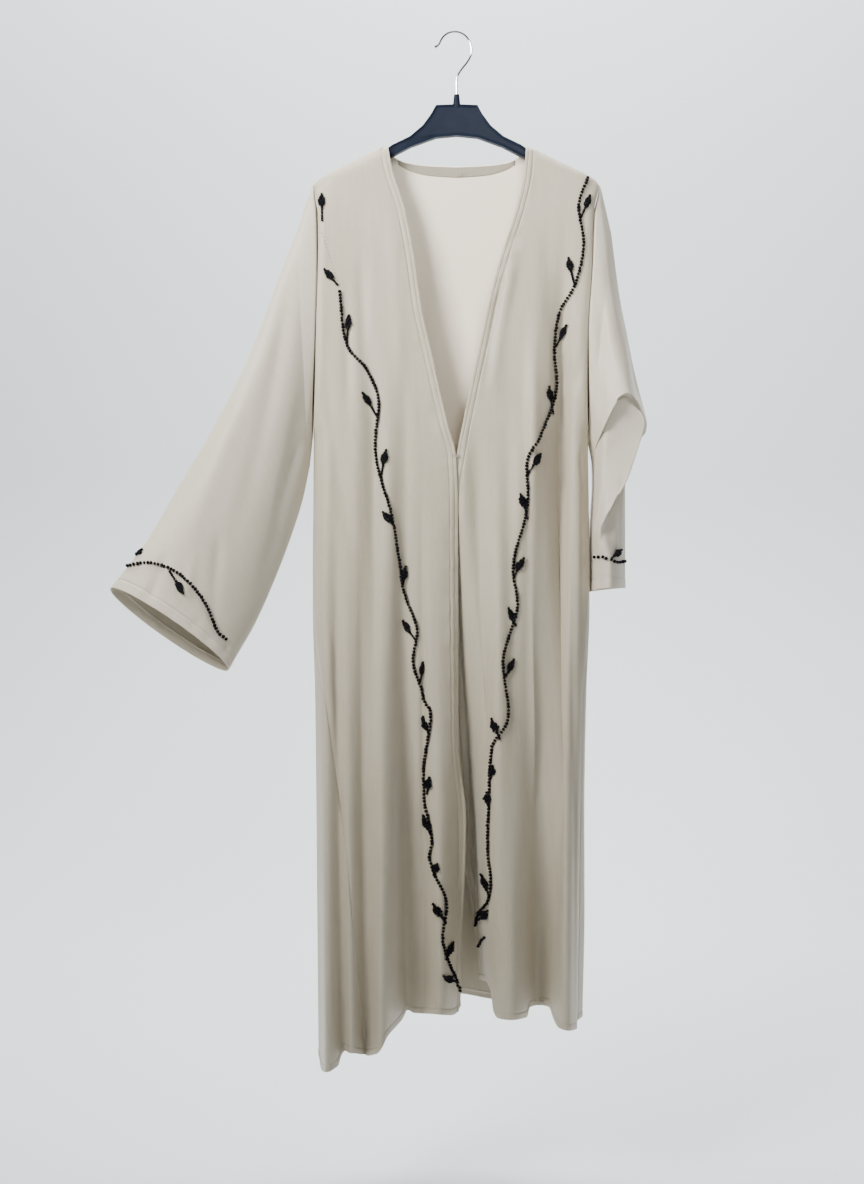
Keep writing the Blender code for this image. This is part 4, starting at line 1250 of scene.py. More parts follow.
@dataclass
class Sleeve:
    """One wide sleeve, from its armhole seam to its stitched cuff."""

    side: Side
    creases: tuple[Crease, ...]
    behind: tuple[Crease, ...]
    columns: int = 176
    rings: int = 150
    stitch: float = CUFF_STITCH

    @property
    def name(self) -> str:
        """The piece's CAD node."""
        return "sleeve_left" if self.side is Side.LEFT else "sleeve_right"

    def ring_places(self) -> np.ndarray:
        """Where the rings stand between the table's rows, closer together at the cuff."""
        last = (LEFT_RINGS if self.side is Side.LEFT else RIGHT_RINGS).count - 1
        plain = np.linspace(0, last - 0.30, self.rings - 26)
        return np.concatenate([plain[:-1], np.linspace(last - 0.30, last, 27)])

    def sheet(self) -> Sheet:
        """The sleeve's cloth, creased."""
        ring = left_ring if self.side is Side.LEFT else right_ring
        rings = [ring(index, self.columns) for index in self.ring_places()]
        root = armhole_ring(self.side, self.columns)
        joined = [root + (rings[0] - root) * t for t in np.linspace(0, 1, 14, endpoint=False)]
        grid = np.array(joined + rings)
        made = Sheet(grid, outward=1 if self.side is Side.LEFT else -1, closed=True)
        steps = np.linalg.norm(np.diff(grid, axis=0), axis=2)
        run = np.concatenate([np.zeros((1, grid.shape[1])), np.cumsum(steps, axis=0)])
        to_cuff = run[-1] - run
        around = np.linalg.norm(grid[-1] - np.roll(grid[-1], 1, axis=0), axis=1).cumsum()
        around = np.broadcast_to(around, run.shape)
        made.to_hem = to_cuff
        relief = turned_hem(to_cuff, self.stitch)
        relief += puckers(to_cuff, around, self.stitch, 0.012, 0.0013, 61)
        relief -= 0.0016 * swell(run, 0.0035)
        low = np.abs(np.arange(self.columns) - self.columns / 2) / self.columns
        seam = swell(low[None, :] * around[0, -1] - 0.0045, 0.0016)
        relief -= 0.0006 * seam * smooth_step(0.02, 0.06, run)
        made.push(relief)
        facing = made.normals()[:, :, 1]
        made.crease(self.creases, smooth_step(0.05, 0.35, -facing))
        made.crease(self.behind, smooth_step(0.05, 0.35, facing))
        return made


@dataclass(frozen=True)
class NeckFacing:
    """The narrow band stitched inside the back neck."""

    deep: float = 0.0150
    end_deep: float = 0.0060
    reach: float = 0.088
    gap: float = 0.0011
    columns: int = 120
    rows: int = 15

    def drop_at(self, x: float, down: float) -> float:
        """The band's drop at an x, from 0 at its upper edge to 1 at its lower one."""
        near_end = (abs(x) / self.reach) ** 3
        deep = self.deep + (self.end_deep - self.deep) * near_end
        return back_top(x) + 0.0012 + deep * down

    def sheet(self, back: BVHTree) -> Sheet:
        """The band's cloth, laid on the inside of the back."""
        grid = []
        for down in np.linspace(0, 1, self.rows):
            run = []
            for x in np.linspace(-self.reach, self.reach, self.columns):
                point, _ = laid_on(back, float(x), self.drop_at(float(x), float(down)))
                run.append((point.x, point.y - self.gap, point.z))
            grid.append(run)
        made = Sheet(np.array(grid), outward=1)
        width = np.full(made.x.shape, self.deep)
        to_low = width * (1 - np.linspace(0, 1, self.rows))[:, None]
        relief = 0.0002 - 0.0004 * swell(to_low - 0.0022, 0.0010)
        relief += puckers(to_low, made.x, 0.0022, 0.006, 0.0003, 83)
        made.push(np.abs(relief) * 0.6)
        return made


def laid_on(tree: BVHTree, x: float, drop: float) -> tuple[Vector, Vector]:
    """The cloth's point straight behind a place on the front view, and its normal to the front."""
    point, normal, _, _ = tree.ray_cast(Vector((x, -1.0, -drop)), Vector((0, 1, 0)))
    if point is None:
        point, normal, _, _ = tree.find_nearest(Vector((x, -0.05, -drop)))
    return point, normal if normal.y < 0 else -normal


def round_bead() -> tuple[np.ndarray, np.ndarray]:
    """A faceted bead of radius 1: its points and faces."""
    work = bmesh.new()
    bmesh.ops.create_icosphere(work, subdivisions=1, radius=1.0)
    points = np.array([tuple(vertex.co) for vertex in work.verts])
    faces = np.array([[vertex.index for vertex in face.verts] for face in work.faces])
    work.free()
    return points, faces


@dataclass
class BeadString:
    """Beads gathered for one piece."""

    points: list[np.ndarray] = field(default_factory=list)
    faces: list[np.ndarray] = field(default_factory=list)
    count: int = 0

    def add(self, centre: np.ndarray, axes: np.ndarray, size: np.ndarray) -> None:
        """Adds a bead.

        Args:
            centre: where it sits.
            axes: its three axes, one a row.
            size: its radius along each axis.
        """
        shape, faces = BEAD
        self.points.append(centre + (shape * size) @ axes)
        self.faces.append(faces + self.count)
        self.count += len(shape)

    def piece(self, name: str) -> bpy.types.Object:
        """The beads as one object with flat facets."""
        return mesh_object(name, np.vstack(self.points), np.vstack(self.faces), smooth=False)


BEAD = round_bead()


@dataclass
class Beader:
    """Sews beads on one sheet of cloth."""

    tree: BVHTree
    draws: np.random.Generator
    beads: BeadString = field(default_factory=BeadString)

    def bead(self, x: float, drop: float, radius: float, ahead: np.ndarray, lift: float = 0.0) -> None:
        """Sews one bead.

        Args:
            x: where it is sewn.
            drop: how far down.
            radius: its radius.
            ahead: the way its thread runs.
            lift: how far it stands off the cloth.
        """
        point, normal = laid_on(self.tree, x, drop)
        up = np.array(normal)
        along = ahead - up * float(ahead @ up)
        along = along / max(float(np.linalg.norm(along)), 1e-9)
        aside = np.cross(up, along)
        turn = self.draws.uniform(0, 2 * math.pi)
        first = aside * math.cos(turn) + up * math.sin(turn)
        second = np.cross(along, first)
        grown = radius * self.draws.uniform(0.90, 1.10)
        centre = np.array(point) + up * (WALL / 2 + grown * 0.82 + lift)
        size = np.array([grown, grown, grown * self.draws.uniform(0.76, 0.9)])
        self.beads.add(centre, np.array([first, second, along]), size)

    def stem(self, bends: Sequence[tuple[float, float]], pitch: float, radius: float) -> None:
        """Sews a run of beads through bends."""
        run = smooth_run(np.array(bends), pitch)
        for i, (x, drop) in enumerate(run):
            step = run[min(i + 1, len(run) - 1)] - run[max(i - 1, 0)]
            loose = self.draws.normal(0, 0.00022, 2)
            self.bead(x + loose[0], drop + loose[1], radius, np.array([step[0], 0, -step[1]]))

    def leaf(self, tip: tuple[float, float], foot: tuple[float, float], wide: float) -> None:
        """Sews a leaf: rows of beads that widen below the tip, on a short stalk.

        Args:
            tip: the leaf's tip.
            foot: where its stalk meets the stem.
            wide: its greatest width.
        """
        tip_at = np.array(tip)
        run = np.array(foot) - tip_at
        length = float(np.linalg.norm(run))
        run = run / length
        aside = np.array([-run[1], run[0]])
        body = min(LEAF_LENGTH, length * 0.72)
        radius = LEAF_BEAD
        rows = max(6, round(body / LEAF_ROW))
        for i in range(rows):
            t = (i + 0.5) / rows
            half = wide / 2 * float(np.interp(t, *LEAF_OUTLINE))
            count = max(1, round(2 * half / LEAF_PITCH))
            for k in range(count):
                off = 0.0 if count == 1 else (k / (count - 1) - 0.5) * 2 * (half - radius)
                slant = abs(off) * 0.35
                place = tip_at + run * (body * t - slant + 0.002) + aside * off
                place = place + self.draws.normal(0, 0.0003, 2)
                pull = run * 1.0 + aside * (0.7 if off > 0 else -0.7)
                lift = self.draws.uniform(0.0, 0.0011)
                self.bead(place[0], place[1], radius, np.array([pull[0], 0, -pull[1]]), lift)
        stalk = length - body
        beads = max(1, round(stalk / STALK_PITCH))
        for i in range(beads):
            place = tip_at + run * (body + stalk * (i + 0.6) / beads)
            self.bead(place[0], place[1], STALK_BEAD, np.array([run[0], 0, -run[1]]))


LEFT_STEM = (
    (-0.174, 0.394),
    (-0.165, 0.468),
    (-0.132, 0.513),
    (-0.115, 0.557),
    (-0.120, 0.631),
    (-0.099, 0.718),
    (-0.087, 0.792),
    (-0.080, 0.836),
    (-0.059, 0.892),
    (-0.064, 0.944),
    (-0.046, 1.000),
    (-0.038, 1.023),
    (-0.048, 1.121),
    (-0.036, 1.198),
    (-0.038, 1.233),
    (-0.018, 1.293),
    (-0.022, 1.352),
    (0.000, 1.420),
    (0.0022, 1.431),
)
RIGHT_STEM = (
    (0.194, 0.222),
    (0.181, 0.265),
    (0.188, 0.324),
    (0.175, 0.385),
    (0.151, 0.426),
    (0.143, 0.480),
    (0.146, 0.539),
    (0.123, 0.605),
    (0.104, 0.648),
    (0.104, 0.710),
    (0.083, 0.799),
    (0.088, 0.863),
    (0.066, 0.936),
    (0.073, 1.019),
    (0.053, 1.066),
    (0.048, 1.144),
    (0.046, 1.216),
    (0.0505, 1.258),
    (0.0465, 1.290),
    (0.0360, 1.318),
    (0.0310, 1.345),
)
LEFT_CUFF_STEM = (
    (-0.464, 0.804),
    (-0.431, 0.799),
    (-0.392, 0.814),
    (-0.359, 0.850),
    (-0.339, 0.893),
    (-0.327, 0.905),
)
RIGHT_CUFF_STEM = ((0.2060, 0.787), (0.2160, 0.787), (0.2330, 0.795), (0.2490, 0.793))
LEFT_LEAVES = (
    ((-0.160, 0.426), (-0.163, 0.469)),
    ((-0.142, 0.542), (-0.116, 0.582)),
    ((-0.104, 0.627), (-0.111, 0.666)),
    ((-0.110, 0.719), (-0.093, 0.743)),
    ((-0.075, 0.798), (-0.081, 0.831)),
    ((-0.083, 0.879), (-0.061, 0.910)),
    ((-0.049, 0.939), (-0.055, 0.972)),
    ((-0.053, 1.020), (-0.040, 1.048)),
    ((-0.039, 1.107), (-0.043, 1.136)),
    ((-0.051, 1.165), (-0.038, 1.194)),
    ((-0.028, 1.233), (-0.034, 1.254)),
    ((-0.035, 1.292), (-0.018, 1.324)),
    ((-0.007, 1.351), (-0.018, 1.377)),
    ((-0.024, 1.398), (-0.002, 1.416)),
)
RIGHT_LEAVES = (
    ((0.199, 0.246), (0.184, 0.284)),
    ((0.165, 0.340), (0.175, 0.385)),
    ((0.166, 0.440), (0.146, 0.474)),
    ((0.134, 0.532), (0.142, 0.575)),
    ((0.123, 0.632), (0.104, 0.668)),
    ((0.092, 0.692), (0.104, 0.732)),
    ((0.098, 0.786), (0.084, 0.817)),
    ((0.073, 0.860), (0.086, 0.889)),
    ((0.084, 0.935), (0.069, 0.964)),
    ((0.051, 1.022), (0.062, 1.054)),
    ((0.054, 1.090), (0.050, 1.112)),
    ((0.044, 1.130), (0.048, 1.155)),
    ((0.0380, 1.252), (0.0480, 1.284)),
    ((0.0475, 1.302), (0.0350, 1.332)),
)
RIGHT_TAIL = ((0.0425, 1.350), (0.0395, 1.358), (0.0360, 1.374))
LEFT_CUFF_LEAVES = (((-0.382, 0.845), (-0.405, 0.810)),)
RIGHT_CUFF_LEAVES = (((0.2440, 0.7740), (0.2250, 0.7900)),)


@dataclass(frozen=True)
class Vine:
    """A beaded stem with its leaves, as one piece."""

    name: str
    cloth: str
    stem: tuple[tuple[float, float], ...]
    leaves: tuple[tuple[tuple[float, float], tuple[float, float]], ...]
    seed: int
    tail: tuple[tuple[float, float], ...] = ()
    pitch: float = 0.0048
    radius: float = 0.0030
    wide: float = 0.0122

    def build(self, tree: BVHTree) -> bpy.types.Object:
        """Sews the vine on its cloth."""
        beader = Beader(tree, np.random.default_rng(self.seed))
        for run in (self.stem, self.tail):
            if run:
                beader.stem(run, self.pitch, self.radius)
        for tip, foot in self.leaves:
            beader.leaf(tip, foot, self.wide)
        return beader.beads.piece(self.name + "_beads")


VINES = (
    Vine("vine_front_left", "front_left", LEFT_STEM, LEFT_LEAVES, 101),
    Vine("vine_front_right", "front_right", RIGHT_STEM, RIGHT_LEAVES, 102, RIGHT_TAIL),
    Vine("vine_cuff_left", "sleeve_left", LEFT_CUFF_STEM, LEFT_CUFF_LEAVES, 103),
    Vine("vine_cuff_right", "sleeve_right", RIGHT_CUFF_STEM, RIGHT_CUFF_LEAVES, 104),
    Vine("leaf_left_shoulder", "front_left", (), (((-0.2010, 0.243), (-0.2000, 0.288)),), 105),
    Vine("leaf_left_chest", "front_left", (), (((-0.1990, 0.358), (-0.1770, 0.384)),), 106),
    Vine("leaf_left_cuff", "sleeve_left", (), (((-0.443, 0.779), (-0.455, 0.789)),), 107, wide=0.008),
)


@dataclass
class Needle:
    """Sews topstitches as short lengths of thread, gathered as one piece."""

    pitch: float = 0.0032
    long: float = 0.0023
    thick: float = 0.00034
    points: list[np.ndarray] = field(default_factory=list)
    faces: list[tuple[int, ...]] = field(default_factory=list)
    count: int = 0

    def stitch(self, place: np.ndarray, ahead: np.ndarray, up: np.ndarray) -> None:
        """Sews one stitch: a thread of six sides that dips into the cloth at both ends."""
        aside = np.cross(ahead, up)
        for along, sunk, wide in ((-0.5, -0.6, 0.5), (-0.25, 0.35, 1.0), (0.25, 0.35, 1.0), (0.5, -0.6, 0.5)):
            centre = place + ahead * along * self.long + up * sunk * self.thick
            for k in range(6):
                turn = k * math.pi / 3
                ring = aside * math.cos(turn) + up * math.sin(turn)
                self.points.append(centre + ring * self.thick / 2 * wide)
        start = self.count
        for row in range(3):
            for k in range(6):
                a = start + row * 6 + k
                b = start + row * 6 + (k + 1) % 6
                self.faces.append((a, b, b + 6, a + 6))
        self.faces.append(tuple(start + k for k in reversed(range(6))))
        self.faces.append(tuple(start + 18 + k for k in range(6)))
        self.count += 24

    def run(self, line: np.ndarray, normals: np.ndarray) -> None:
        """Sews along a line on the cloth.

        Args:
            line: the line's points, one a row.
            normals: the cloth's outward normal at each of them.
        """
        length = length_of(line)
        places = np.arange(self.pitch, length - self.pitch, self.pitch)
        if len(places) < 2:
            return
        centres = spread(line, places)
        steps = np.linalg.norm(np.diff(line, axis=0), axis=1)
        along = np.concatenate([[0], np.cumsum(steps)])
        ups = np.stack([np.interp(places, along, normals[:, i]) for i in range(3)], axis=1)
        for i, centre in enumerate(centres):
            ahead = centres[min(i + 1, len(centres) - 1)] - centres[max(i - 1, 0)]
            ahead = ahead / max(float(np.linalg.norm(ahead)), 1e-9)
            up = ups[i] - ahead * float(ups[i] @ ahead)
            up = up / max(float(np.linalg.norm(up)), 1e-9)
            self.stitch(centre + up * (WALL / 2), ahead, up)

    def tack(self, tree: BVHTree, start: tuple[float, float], end: tuple[float, float], lift: float) -> None:
        """Sews one long stitch between two places on the front view.

        Args:
            tree: the cloth.
            start: where it comes up.
            end: where it goes down.
            lift: how far it stands off the cloth.
        """
        point, normal = laid_on(tree, (start[0] + end[0]) / 2, (start[1] + end[1]) / 2)
        ahead = np.array([end[0] - start[0], 0.0, start[1] - end[1]])
        self.long = float(np.linalg.norm(ahead))
        up = np.array(normal)
        ahead = ahead - up * float(ahead @ up)
        self.stitch(np.array(point) + up * lift, ahead / float(np.linalg.norm(ahead)), up)

    def piece(self, name: str) -> bpy.types.Object:
        """The stitches as one object."""
        return mesh_object(name, np.array(self.points), self.faces)


def line_at(sheet: Sheet, distance: np.ndarray, wanted: float, by_row: bool) -> tuple[np.ndarray, np.ndarray]:
    """The line on a sheet at a distance from one of its edges.

    Args:
        sheet: the cloth.
        distance: every point's distance from that edge.
        wanted: how far from the edge the line runs.
        by_row: one point a row, else one a column.

    Returns:
        The line's points and the cloth's normals there.
    """
    normals = sheet.normals()
    count = sheet.points.shape[0 if by_row else 1]
    line = []
    ups = []
    for i in range(count):
        away = distance[i] if by_row else distance[:, i]
        points = sheet.points[i] if by_row else sheet.points[:, i]
        facing = normals[i] if by_row else normals[:, i]
        order = np.argsort(away)
        line.append([np.interp(wanted, away[order], points[order, k]) for k in range(3)])
        ups.append([np.interp(wanted, away[order], facing[order, k]) for k in range(3)])
    return np.array(line), np.array(ups)


BAR_TACK = tuple(((-0.0060, 0.6360 + 0.0008 * i), (0.0062, 0.6366 + 0.0008 * i)) for i in range(5))
NECK_STAR = (
    ((0.0000, 0.2060), (0.0060, 0.2125)),
    ((0.0130, 0.2050), (0.0058, 0.2122)),
    ((0.0065, 0.2040), (0.0060, 0.2128)),
)
LOOSE_THREADS = tuple(
    ((-0.2021 + 0.0248 * t, 0.3050 + 0.0760 * t), (-0.1987 + 0.0248 * t, 0.3070 + 0.0760 * t))
    for t in np.linspace(0, 1, 15)
)


@dataclass(frozen=True)
class Hanger:
    """The moulded hanger and its wire hook, finished as they stand in the frame."""

    def dress(self, plastic: bpy.types.Material, wire: bpy.types.Material) -> None:
        """Gives the hanger's plastic and wire their finishes."""
        for name, material in (("hanger_body", plastic), ("hanger_hook", wire)):
            dress(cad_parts[name], material)


@dataclass(frozen=True)
class Studio:
    """The pale studio: a swept floor and wall, soft lights and the camera."""

    floor: float = -1.74
    wall: float = 3.0
    sweep: float = 1.3
    half_width: float = 7.0
    front: float = -5.0
    high: float = 5.0

    def backdrop(self) -> bpy.types.Object:
        """The floor, swept up into the wall."""
        turns = np.linspace(0, math.pi / 2, 25)
        profile = [(self.front, self.floor)]
        profile += [
            (
                self.wall - self.sweep + self.sweep * math.sin(turn),
                self.floor + self.sweep * (1 - math.cos(turn)),
            )
            for turn in turns
        ]
        profile += [(self.wall, self.high)]
        points = [(x, y, z) for y, z in profile for x in (-self.half_width, self.half_width)]
        faces = [(2 * i, 2 * i + 1, 2 * i + 3, 2 * i + 2) for i in range(len(profile) - 1)]
        return mesh_object("studio_backdrop", points, faces)

    @staticmethod
    def light(
        name: str, at: Sequence[float], to: Sequence[float], size: float, power: float, spread: float = 180
    ) -> None:
        """A square soft light.

        Args:
            name: the light's name.
            at: where it stands.
            to: what it faces.
            size: its side.
            power: its power in watts.
            spread: the angle of its beam in degrees.
        """
        lamp = bpy.data.lights.new(name, "AREA")
        lamp.shape = "SQUARE"
        lamp.size = size
        lamp.energy = power
        lamp.spread = math.radians(spread)
        holder = bpy.data.objects.new(name, lamp)
        holder.location = at
        holder.rotation_euler = (Vector(to) - Vector(at)).to_track_quat("-Z", "Y").to_euler()
        bpy.context.scene.collection.objects.link(holder)

    def lights(self) -> None:
        """The soft lights and the pale surroundings."""
        self.light("key", (-1.20, -1.30, 0.40), (-0.02, 0.0, -0.17), 0.7, 22, 90)
        self.light("front", (0.50, -2.40, 0.80), (0.16, 0.0, 0.02), 0.8, 4, 50)
        self.light("wall_wash", (0.0, 1.2, 3.6), (0.0, 3.2, -0.6), 3.0, 520)
        world = bpy.data.worlds.new("studio_air")
        world.use_nodes = True
        sky = world.node_tree.nodes["Background"]
        sky.inputs["Color"].default_value = (0.90, 0.94, 1.0, 1.0)
        sky.inputs["Strength"].default_value = 0.10
        bpy.context.scene.world = world

    @staticmethod
    def camera() -> None:
        """The camera at the photograph's angle."""
        lens = bpy.data.cameras.new("camera")
        lens.lens = 49.65
        lens.sensor_width = 36.0
        holder = bpy.data.objects.new("camera", lens)
        holder.location = (-0.037, -2.45, -0.839)
        holder.rotation_euler = (math.radians(90), 0.0, 0.0)
        bpy.context.scene.collection.objects.link(holder)
        bpy.context.scene.camera = holder


LEFT_CREASES = (
    Crease(-0.125, 0.40, -0.120, 1.46, 0.011, 0.0058),
    Crease(-0.150, 0.42, -0.148, 1.36, 0.012, 0.0040, way=Way.RIDGE),
    Crease(-0.101, 0.50, -0.098, 1.44, 0.011, 0.0045, way=Way.RIDGE),
    Crease(-0.078, 0.48, -0.072, 1.44, 0.009, 0.0040),
    Crease(-0.052, 0.70, -0.0475, 1.46, 0.004, 0.0028),
    Crease(-0.042, 0.66, -0.0390, 1.46, 0.008, 0.0018, way=Way.RIDGE),
    Crease(-0.020, 0.72, -0.018, 1.40, 0.010, 0.0016),
    Crease(-0.188, 0.90, -0.184, 1.07, 0.006, 0.0034, way=Way.RIDGE),
    Crease(-0.180, 0.88, -0.176, 1.10, 0.005, 0.0024),
    Crease(-0.142, 0.30, -0.126, 0.62, 0.010, 0.0030, 0.004),
    Crease(-0.165, 0.36, -0.160, 0.60, 0.008, 0.0022),
    Crease(-0.096, 0.26, -0.080, 0.56, 0.012, 0.0022, way=Way.RIDGE),
    Crease(-0.195, 0.50, -0.150, 0.80, 0.010, 0.0024, 0.006),
)
RIGHT_CREASES = (
    Crease(0.092, 0.31, 0.052, 0.56, 0.010, 0.0040, 0.006, Way.RIDGE),
    Crease(0.078, 0.33, 0.040, 0.55, 0.006, 0.0026, 0.004),
    Crease(0.156, 0.38, 0.150, 1.20, 0.015, 0.0120),
    Crease(0.151, 0.56, 0.143, 1.26, 0.017, 0.0150),
    Crease(0.158, 0.28, 0.152, 0.90, 0.015, 0.0130),
    Crease(0.149, 1.00, 0.126, 1.50, 0.014, 0.0120),
    Crease(0.114, 0.42, 0.108, 1.26, 0.012, 0.0120, way=Way.RIDGE),
    Crease(0.092, 0.50, 0.090, 1.36, 0.012, 0.0070, way=Way.RIDGE),
    Crease(0.134, 0.28, 0.140, 0.50, 0.012, 0.0030),
    Crease(0.175, 0.60, 0.172, 1.44, 0.0045, 0.0026),
    Crease(0.187, 0.60, 0.184, 1.30, 0.004, 0.0022),
    Crease(0.028, 0.60, 0.038, 1.20, 0.013, 0.0100),
    Crease(0.062, 0.60, 0.062, 1.50, 0.010, 0.0060, way=Way.RIDGE),
    Crease(0.186, 0.62, 0.192, 0.70, 0.004, 0.0024, 0.003),
    Crease(0.160, 0.56, 0.196, 0.46, 0.009, 0.0022, 0.006),
    Crease(0.011, 0.58, 0.010, 1.10, 0.008, 0.0030, way=Way.RIDGE),
)
BACK_CREASES = (
    Crease(-0.150, 0.30, -0.120, 0.90, 0.020, 0.0030, 0.01),
    Crease(-0.060, 0.26, -0.070, 1.10, 0.018, 0.0026, way=Way.RIDGE),
    Crease(0.030, 0.34, 0.024, 1.30, 0.016, 0.0030),
    Crease(0.090, 0.28, 0.080, 1.00, 0.020, 0.0028, way=Way.RIDGE),
    Crease(0.150, 0.34, 0.130, 1.20, 0.014, 0.0030),
    Crease(-0.190, 0.62, -0.140, 0.86, 0.010, 0.0026, 0.01),
    Crease(0.180, 0.60, 0.140, 0.82, 0.010, 0.0024, -0.01),
)
BACK_INSIDE = (
    Crease(-0.060, 0.376, 0.030, 0.380, 0.004, 0.0008),
    Crease(-0.040, 0.24, -0.020, 0.60, 0.012, 0.0012),
)
LEFT_SLEEVE_CREASES = (
    Crease(-0.240, 0.30, -0.330, 0.80, 0.014, 0.0034, -0.012),
    Crease(-0.250, 0.40, -0.400, 0.84, 0.016, 0.0030, 0.010, Way.RIDGE),
    Crease(-0.226, 0.52, -0.290, 0.86, 0.010, 0.0034, -0.008),
    Crease(-0.222, 0.60, -0.262, 0.74, 0.007, 0.0030, 0.006),
    Crease(-0.300, 0.52, -0.440, 0.80, 0.012, 0.0022, 0.008),
    Crease(-0.340, 0.74, -0.345, 0.90, 0.008, 0.0022),
    Crease(-0.372, 0.78, -0.385, 0.87, 0.007, 0.0020, way=Way.RIDGE),
    Crease(-0.410, 0.78, -0.432, 0.86, 0.008, 0.0018),
)
RIGHT_SLEEVE_CREASES = (
    Crease(0.2425, 0.66, 0.2415, 0.80, 0.0035, 0.0026),
    Crease(0.228, 0.32, 0.222, 0.60, 0.010, 0.0026),
    Crease(0.250, 0.42, 0.245, 0.60, 0.010, 0.0022, way=Way.RIDGE),
    Crease(0.214, 0.40, 0.212, 0.62, 0.006, 0.0022),
    Crease(0.262, 0.48, 0.275, 0.60, 0.007, 0.0020),
    Crease(0.222, 0.68, 0.214, 0.80, 0.006, 0.0022, way=Way.RIDGE),
)
SLEEVE_BACK_CREASES = (
    Crease(-0.250, 0.36, -0.390, 0.86, 0.016, 0.0034, 0.012),
    Crease(-0.232, 0.50, -0.310, 0.88, 0.013, 0.0030, -0.008, Way.RIDGE),
    Crease(0.236, 0.36, 0.232, 0.78, 0.012, 0.0034),
    Crease(0.222, 0.50, 0.216, 0.80, 0.009, 0.0028, way=Way.RIDGE),
)


@dataclass(frozen=True)
class Cut:
    """The flat size and area that a piece of cloth was cut to, and what it rests on."""

    width: float
    length: float
    area: float
    rests_on: tuple[str, ...]


def settle(piece: bpy.types.Object, node: str, material: bpy.types.Material) -> None:
    """Dresses a piece, rides it on the body and stands it for its node.

    Args:
        piece: the object.
        node: the CAD node that it replaces.
        material: its finish.
    """
    dress(piece, material)
    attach(piece, "root")
    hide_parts(node)
    LOG.info("%s: %d faces", piece.name, len(piece.data.polygons))


LEFT_PUCKERED = ((0.17, 0.35), (0.50, 0.6), (0.62, 1.0), (0.72, 0.7), (1.2, 0.4))
RIGHT_PUCKERED = ((0.17, 0.4), (0.25, 1.0), (0.48, 1.0), (0.60, 0.6), (1.2, 0.4))


def sew_topstitches(sheets: dict[str, Sheet]) -> bpy.types.Object:
    """The topstitching along the fronts' edges, the hem and the cuffs, as one piece."""
    needle = Needle()
    for name in ("front_left", "front_right"):
        needle.run(*line_at(sheets[name], sheets[name].to_edge, EDGE_STITCH, True))
    for names, stitch in (
        (("front_left", "front_right", "back"), HEM_STITCH),
        (("sleeve_left", "sleeve_right"), CUFF_STITCH),
    ):
        for name in names:
            needle.run(*line_at(sheets[name], sheets[name].to_hem, stitch, False))
    return needle.piece("topstitching")


def sew_tacks(name: str, tacks: Sequence[tuple[BVHTree, Sequence, float]]) -> bpy.types.Object:
    """Single long stitches as one piece.

    Args:
        name: the piece's name.
        tacks: the cloth, the stitches' ends and how far they stand off it.

    Returns:
        The piece.
    """
    needle = Needle(thick=TACK_THICK)
    for tree, ends, lift in tacks:
        for start, end in ends:
            needle.tack(tree, start, end, WALL / 2 + lift)
    return needle.piece(name)


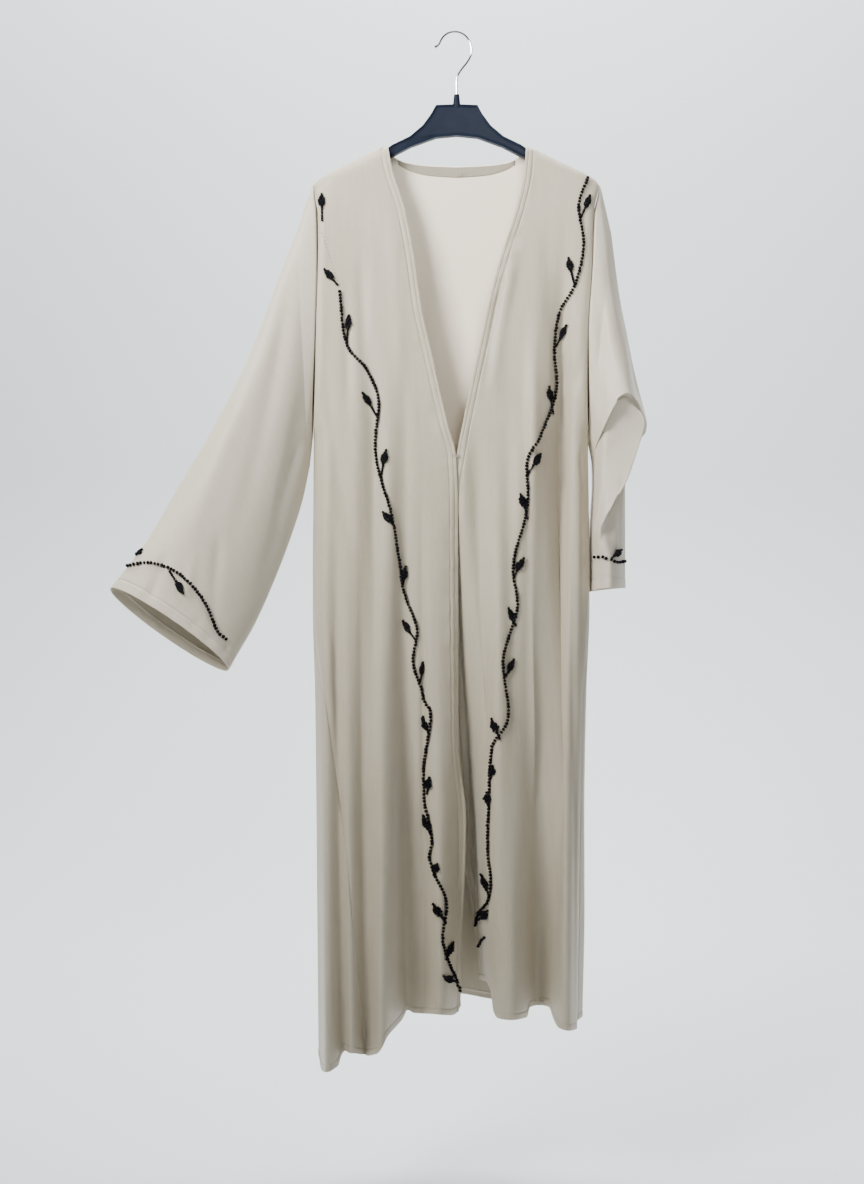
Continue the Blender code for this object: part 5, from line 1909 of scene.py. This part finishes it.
def main() -> None:
    """Builds the cloak, its beadwork and stitching, and the studio."""
    logging.basicConfig(level=logging.INFO, format="%(name)s: %(message)s")
    crepe = CrepeFinish("satin_crepe").material()
    # Painted light: the sleeves take paler copies of the crepe's colour pair, the left one palest. This
    # paints the light that brightens them.
    pale = ((0.60, 0.545, 0.435), (0.53, 0.475, 0.365))
    sleeve_left = CrepeFinish("crinkled_crepe_left_painted_light", *pale, turn=math.radians(34), crinkle=0.5).material()
    painted_light_right = ((0.640, 0.580, 0.470), (0.570, 0.512, 0.404))
    sleeve_right = CrepeFinish("crinkled_crepe_right_painted_light", *painted_light_right, crinkle=0.5).material()
    # The back's inner wall: the crepe with painted light on its upper part.
    back_inside = CrepeFinish("satin_crepe_back_inside_painted_light", painted_light=0.95).material()
    # Painted shade: the neck facing takes a darker copy of the crepe's colour pair. This paints the shade on
    # the band.
    facing = CrepeFinish("facing_crepe_painted_shade", (0.36, 0.315, 0.235), (0.30, 0.26, 0.19)).material()
    beads = BeadFinish("black_beads").material()
    thread = ThreadFinish("beige_thread").material()
    bare_thread = ThreadFinish("bare_thread", (0.20, 0.18, 0.16)).material()
    sheets = {
        "front_left": Front(Side.LEFT, LEFT_CREASES, LEFT_PUCKERED).sheet(),
        "front_right": Front(Side.RIGHT, RIGHT_CREASES, RIGHT_PUCKERED).sheet(),
        "back": Back(BACK_CREASES, BACK_INSIDE).sheet(),
        "sleeve_left": Sleeve(Side.LEFT, LEFT_SLEEVE_CREASES, SLEEVE_BACK_CREASES).sheet(),
        "sleeve_right": Sleeve(Side.RIGHT, RIGHT_SLEEVE_CREASES, SLEEVE_BACK_CREASES).sheet(),
    }
    trees = {name: sheet.tree() for name, sheet in sheets.items()}
    sheets["back_neck_facing"] = NeckFacing().sheet(trees["back"])
    finishes = {
        "sleeve_left": sleeve_left,
        "sleeve_right": sleeve_right,
        "back_neck_facing": facing,
    }
    pieces = {}
    for name, sheet in sheets.items():
        thick, slot = (FACING_WALL, "facing") if name == "back_neck_facing" else (WALL, "cloth")
        pieces[name] = sheet.shell(name + "_cloth", thick)
        settle(pieces[name], name, finishes.get(name, crepe))
    # The back's inner wall takes the material with painted light.
    pieces["back"].data.materials.append(back_inside)
    pieces["back"].modifiers["wall"].material_offset = 1
    for vine in VINES:
        settle(vine.build(trees[vine.cloth]), vine.name, beads)
    stitches = sew_topstitches(sheets)
    tacks = sew_tacks("tacks", ((trees["front_left"], BAR_TACK, 0.0002), (trees["back"], NECK_STAR, 0.0022)))
    threads = sew_tacks("loose_threads", ((trees["front_left"], LOOSE_THREADS, 0.0004),))
    for piece, finish in ((stitches, thread), (tacks, thread), (threads, bare_thread)):
        dress(piece, finish)
        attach(piece, "root")
        LOG.info("%s: %d faces", piece.name, len(piece.data.polygons))
    Hanger().dress(PlasticFinish("satin_plastic").material(), WireFinish("plated_wire").material())
    studio = Studio()
    backdrop = studio.backdrop()
    dress(backdrop, StudioFinish("studio_paint").material())
    studio.lights()
    studio.camera()


if __name__ == "__main__":
    main()
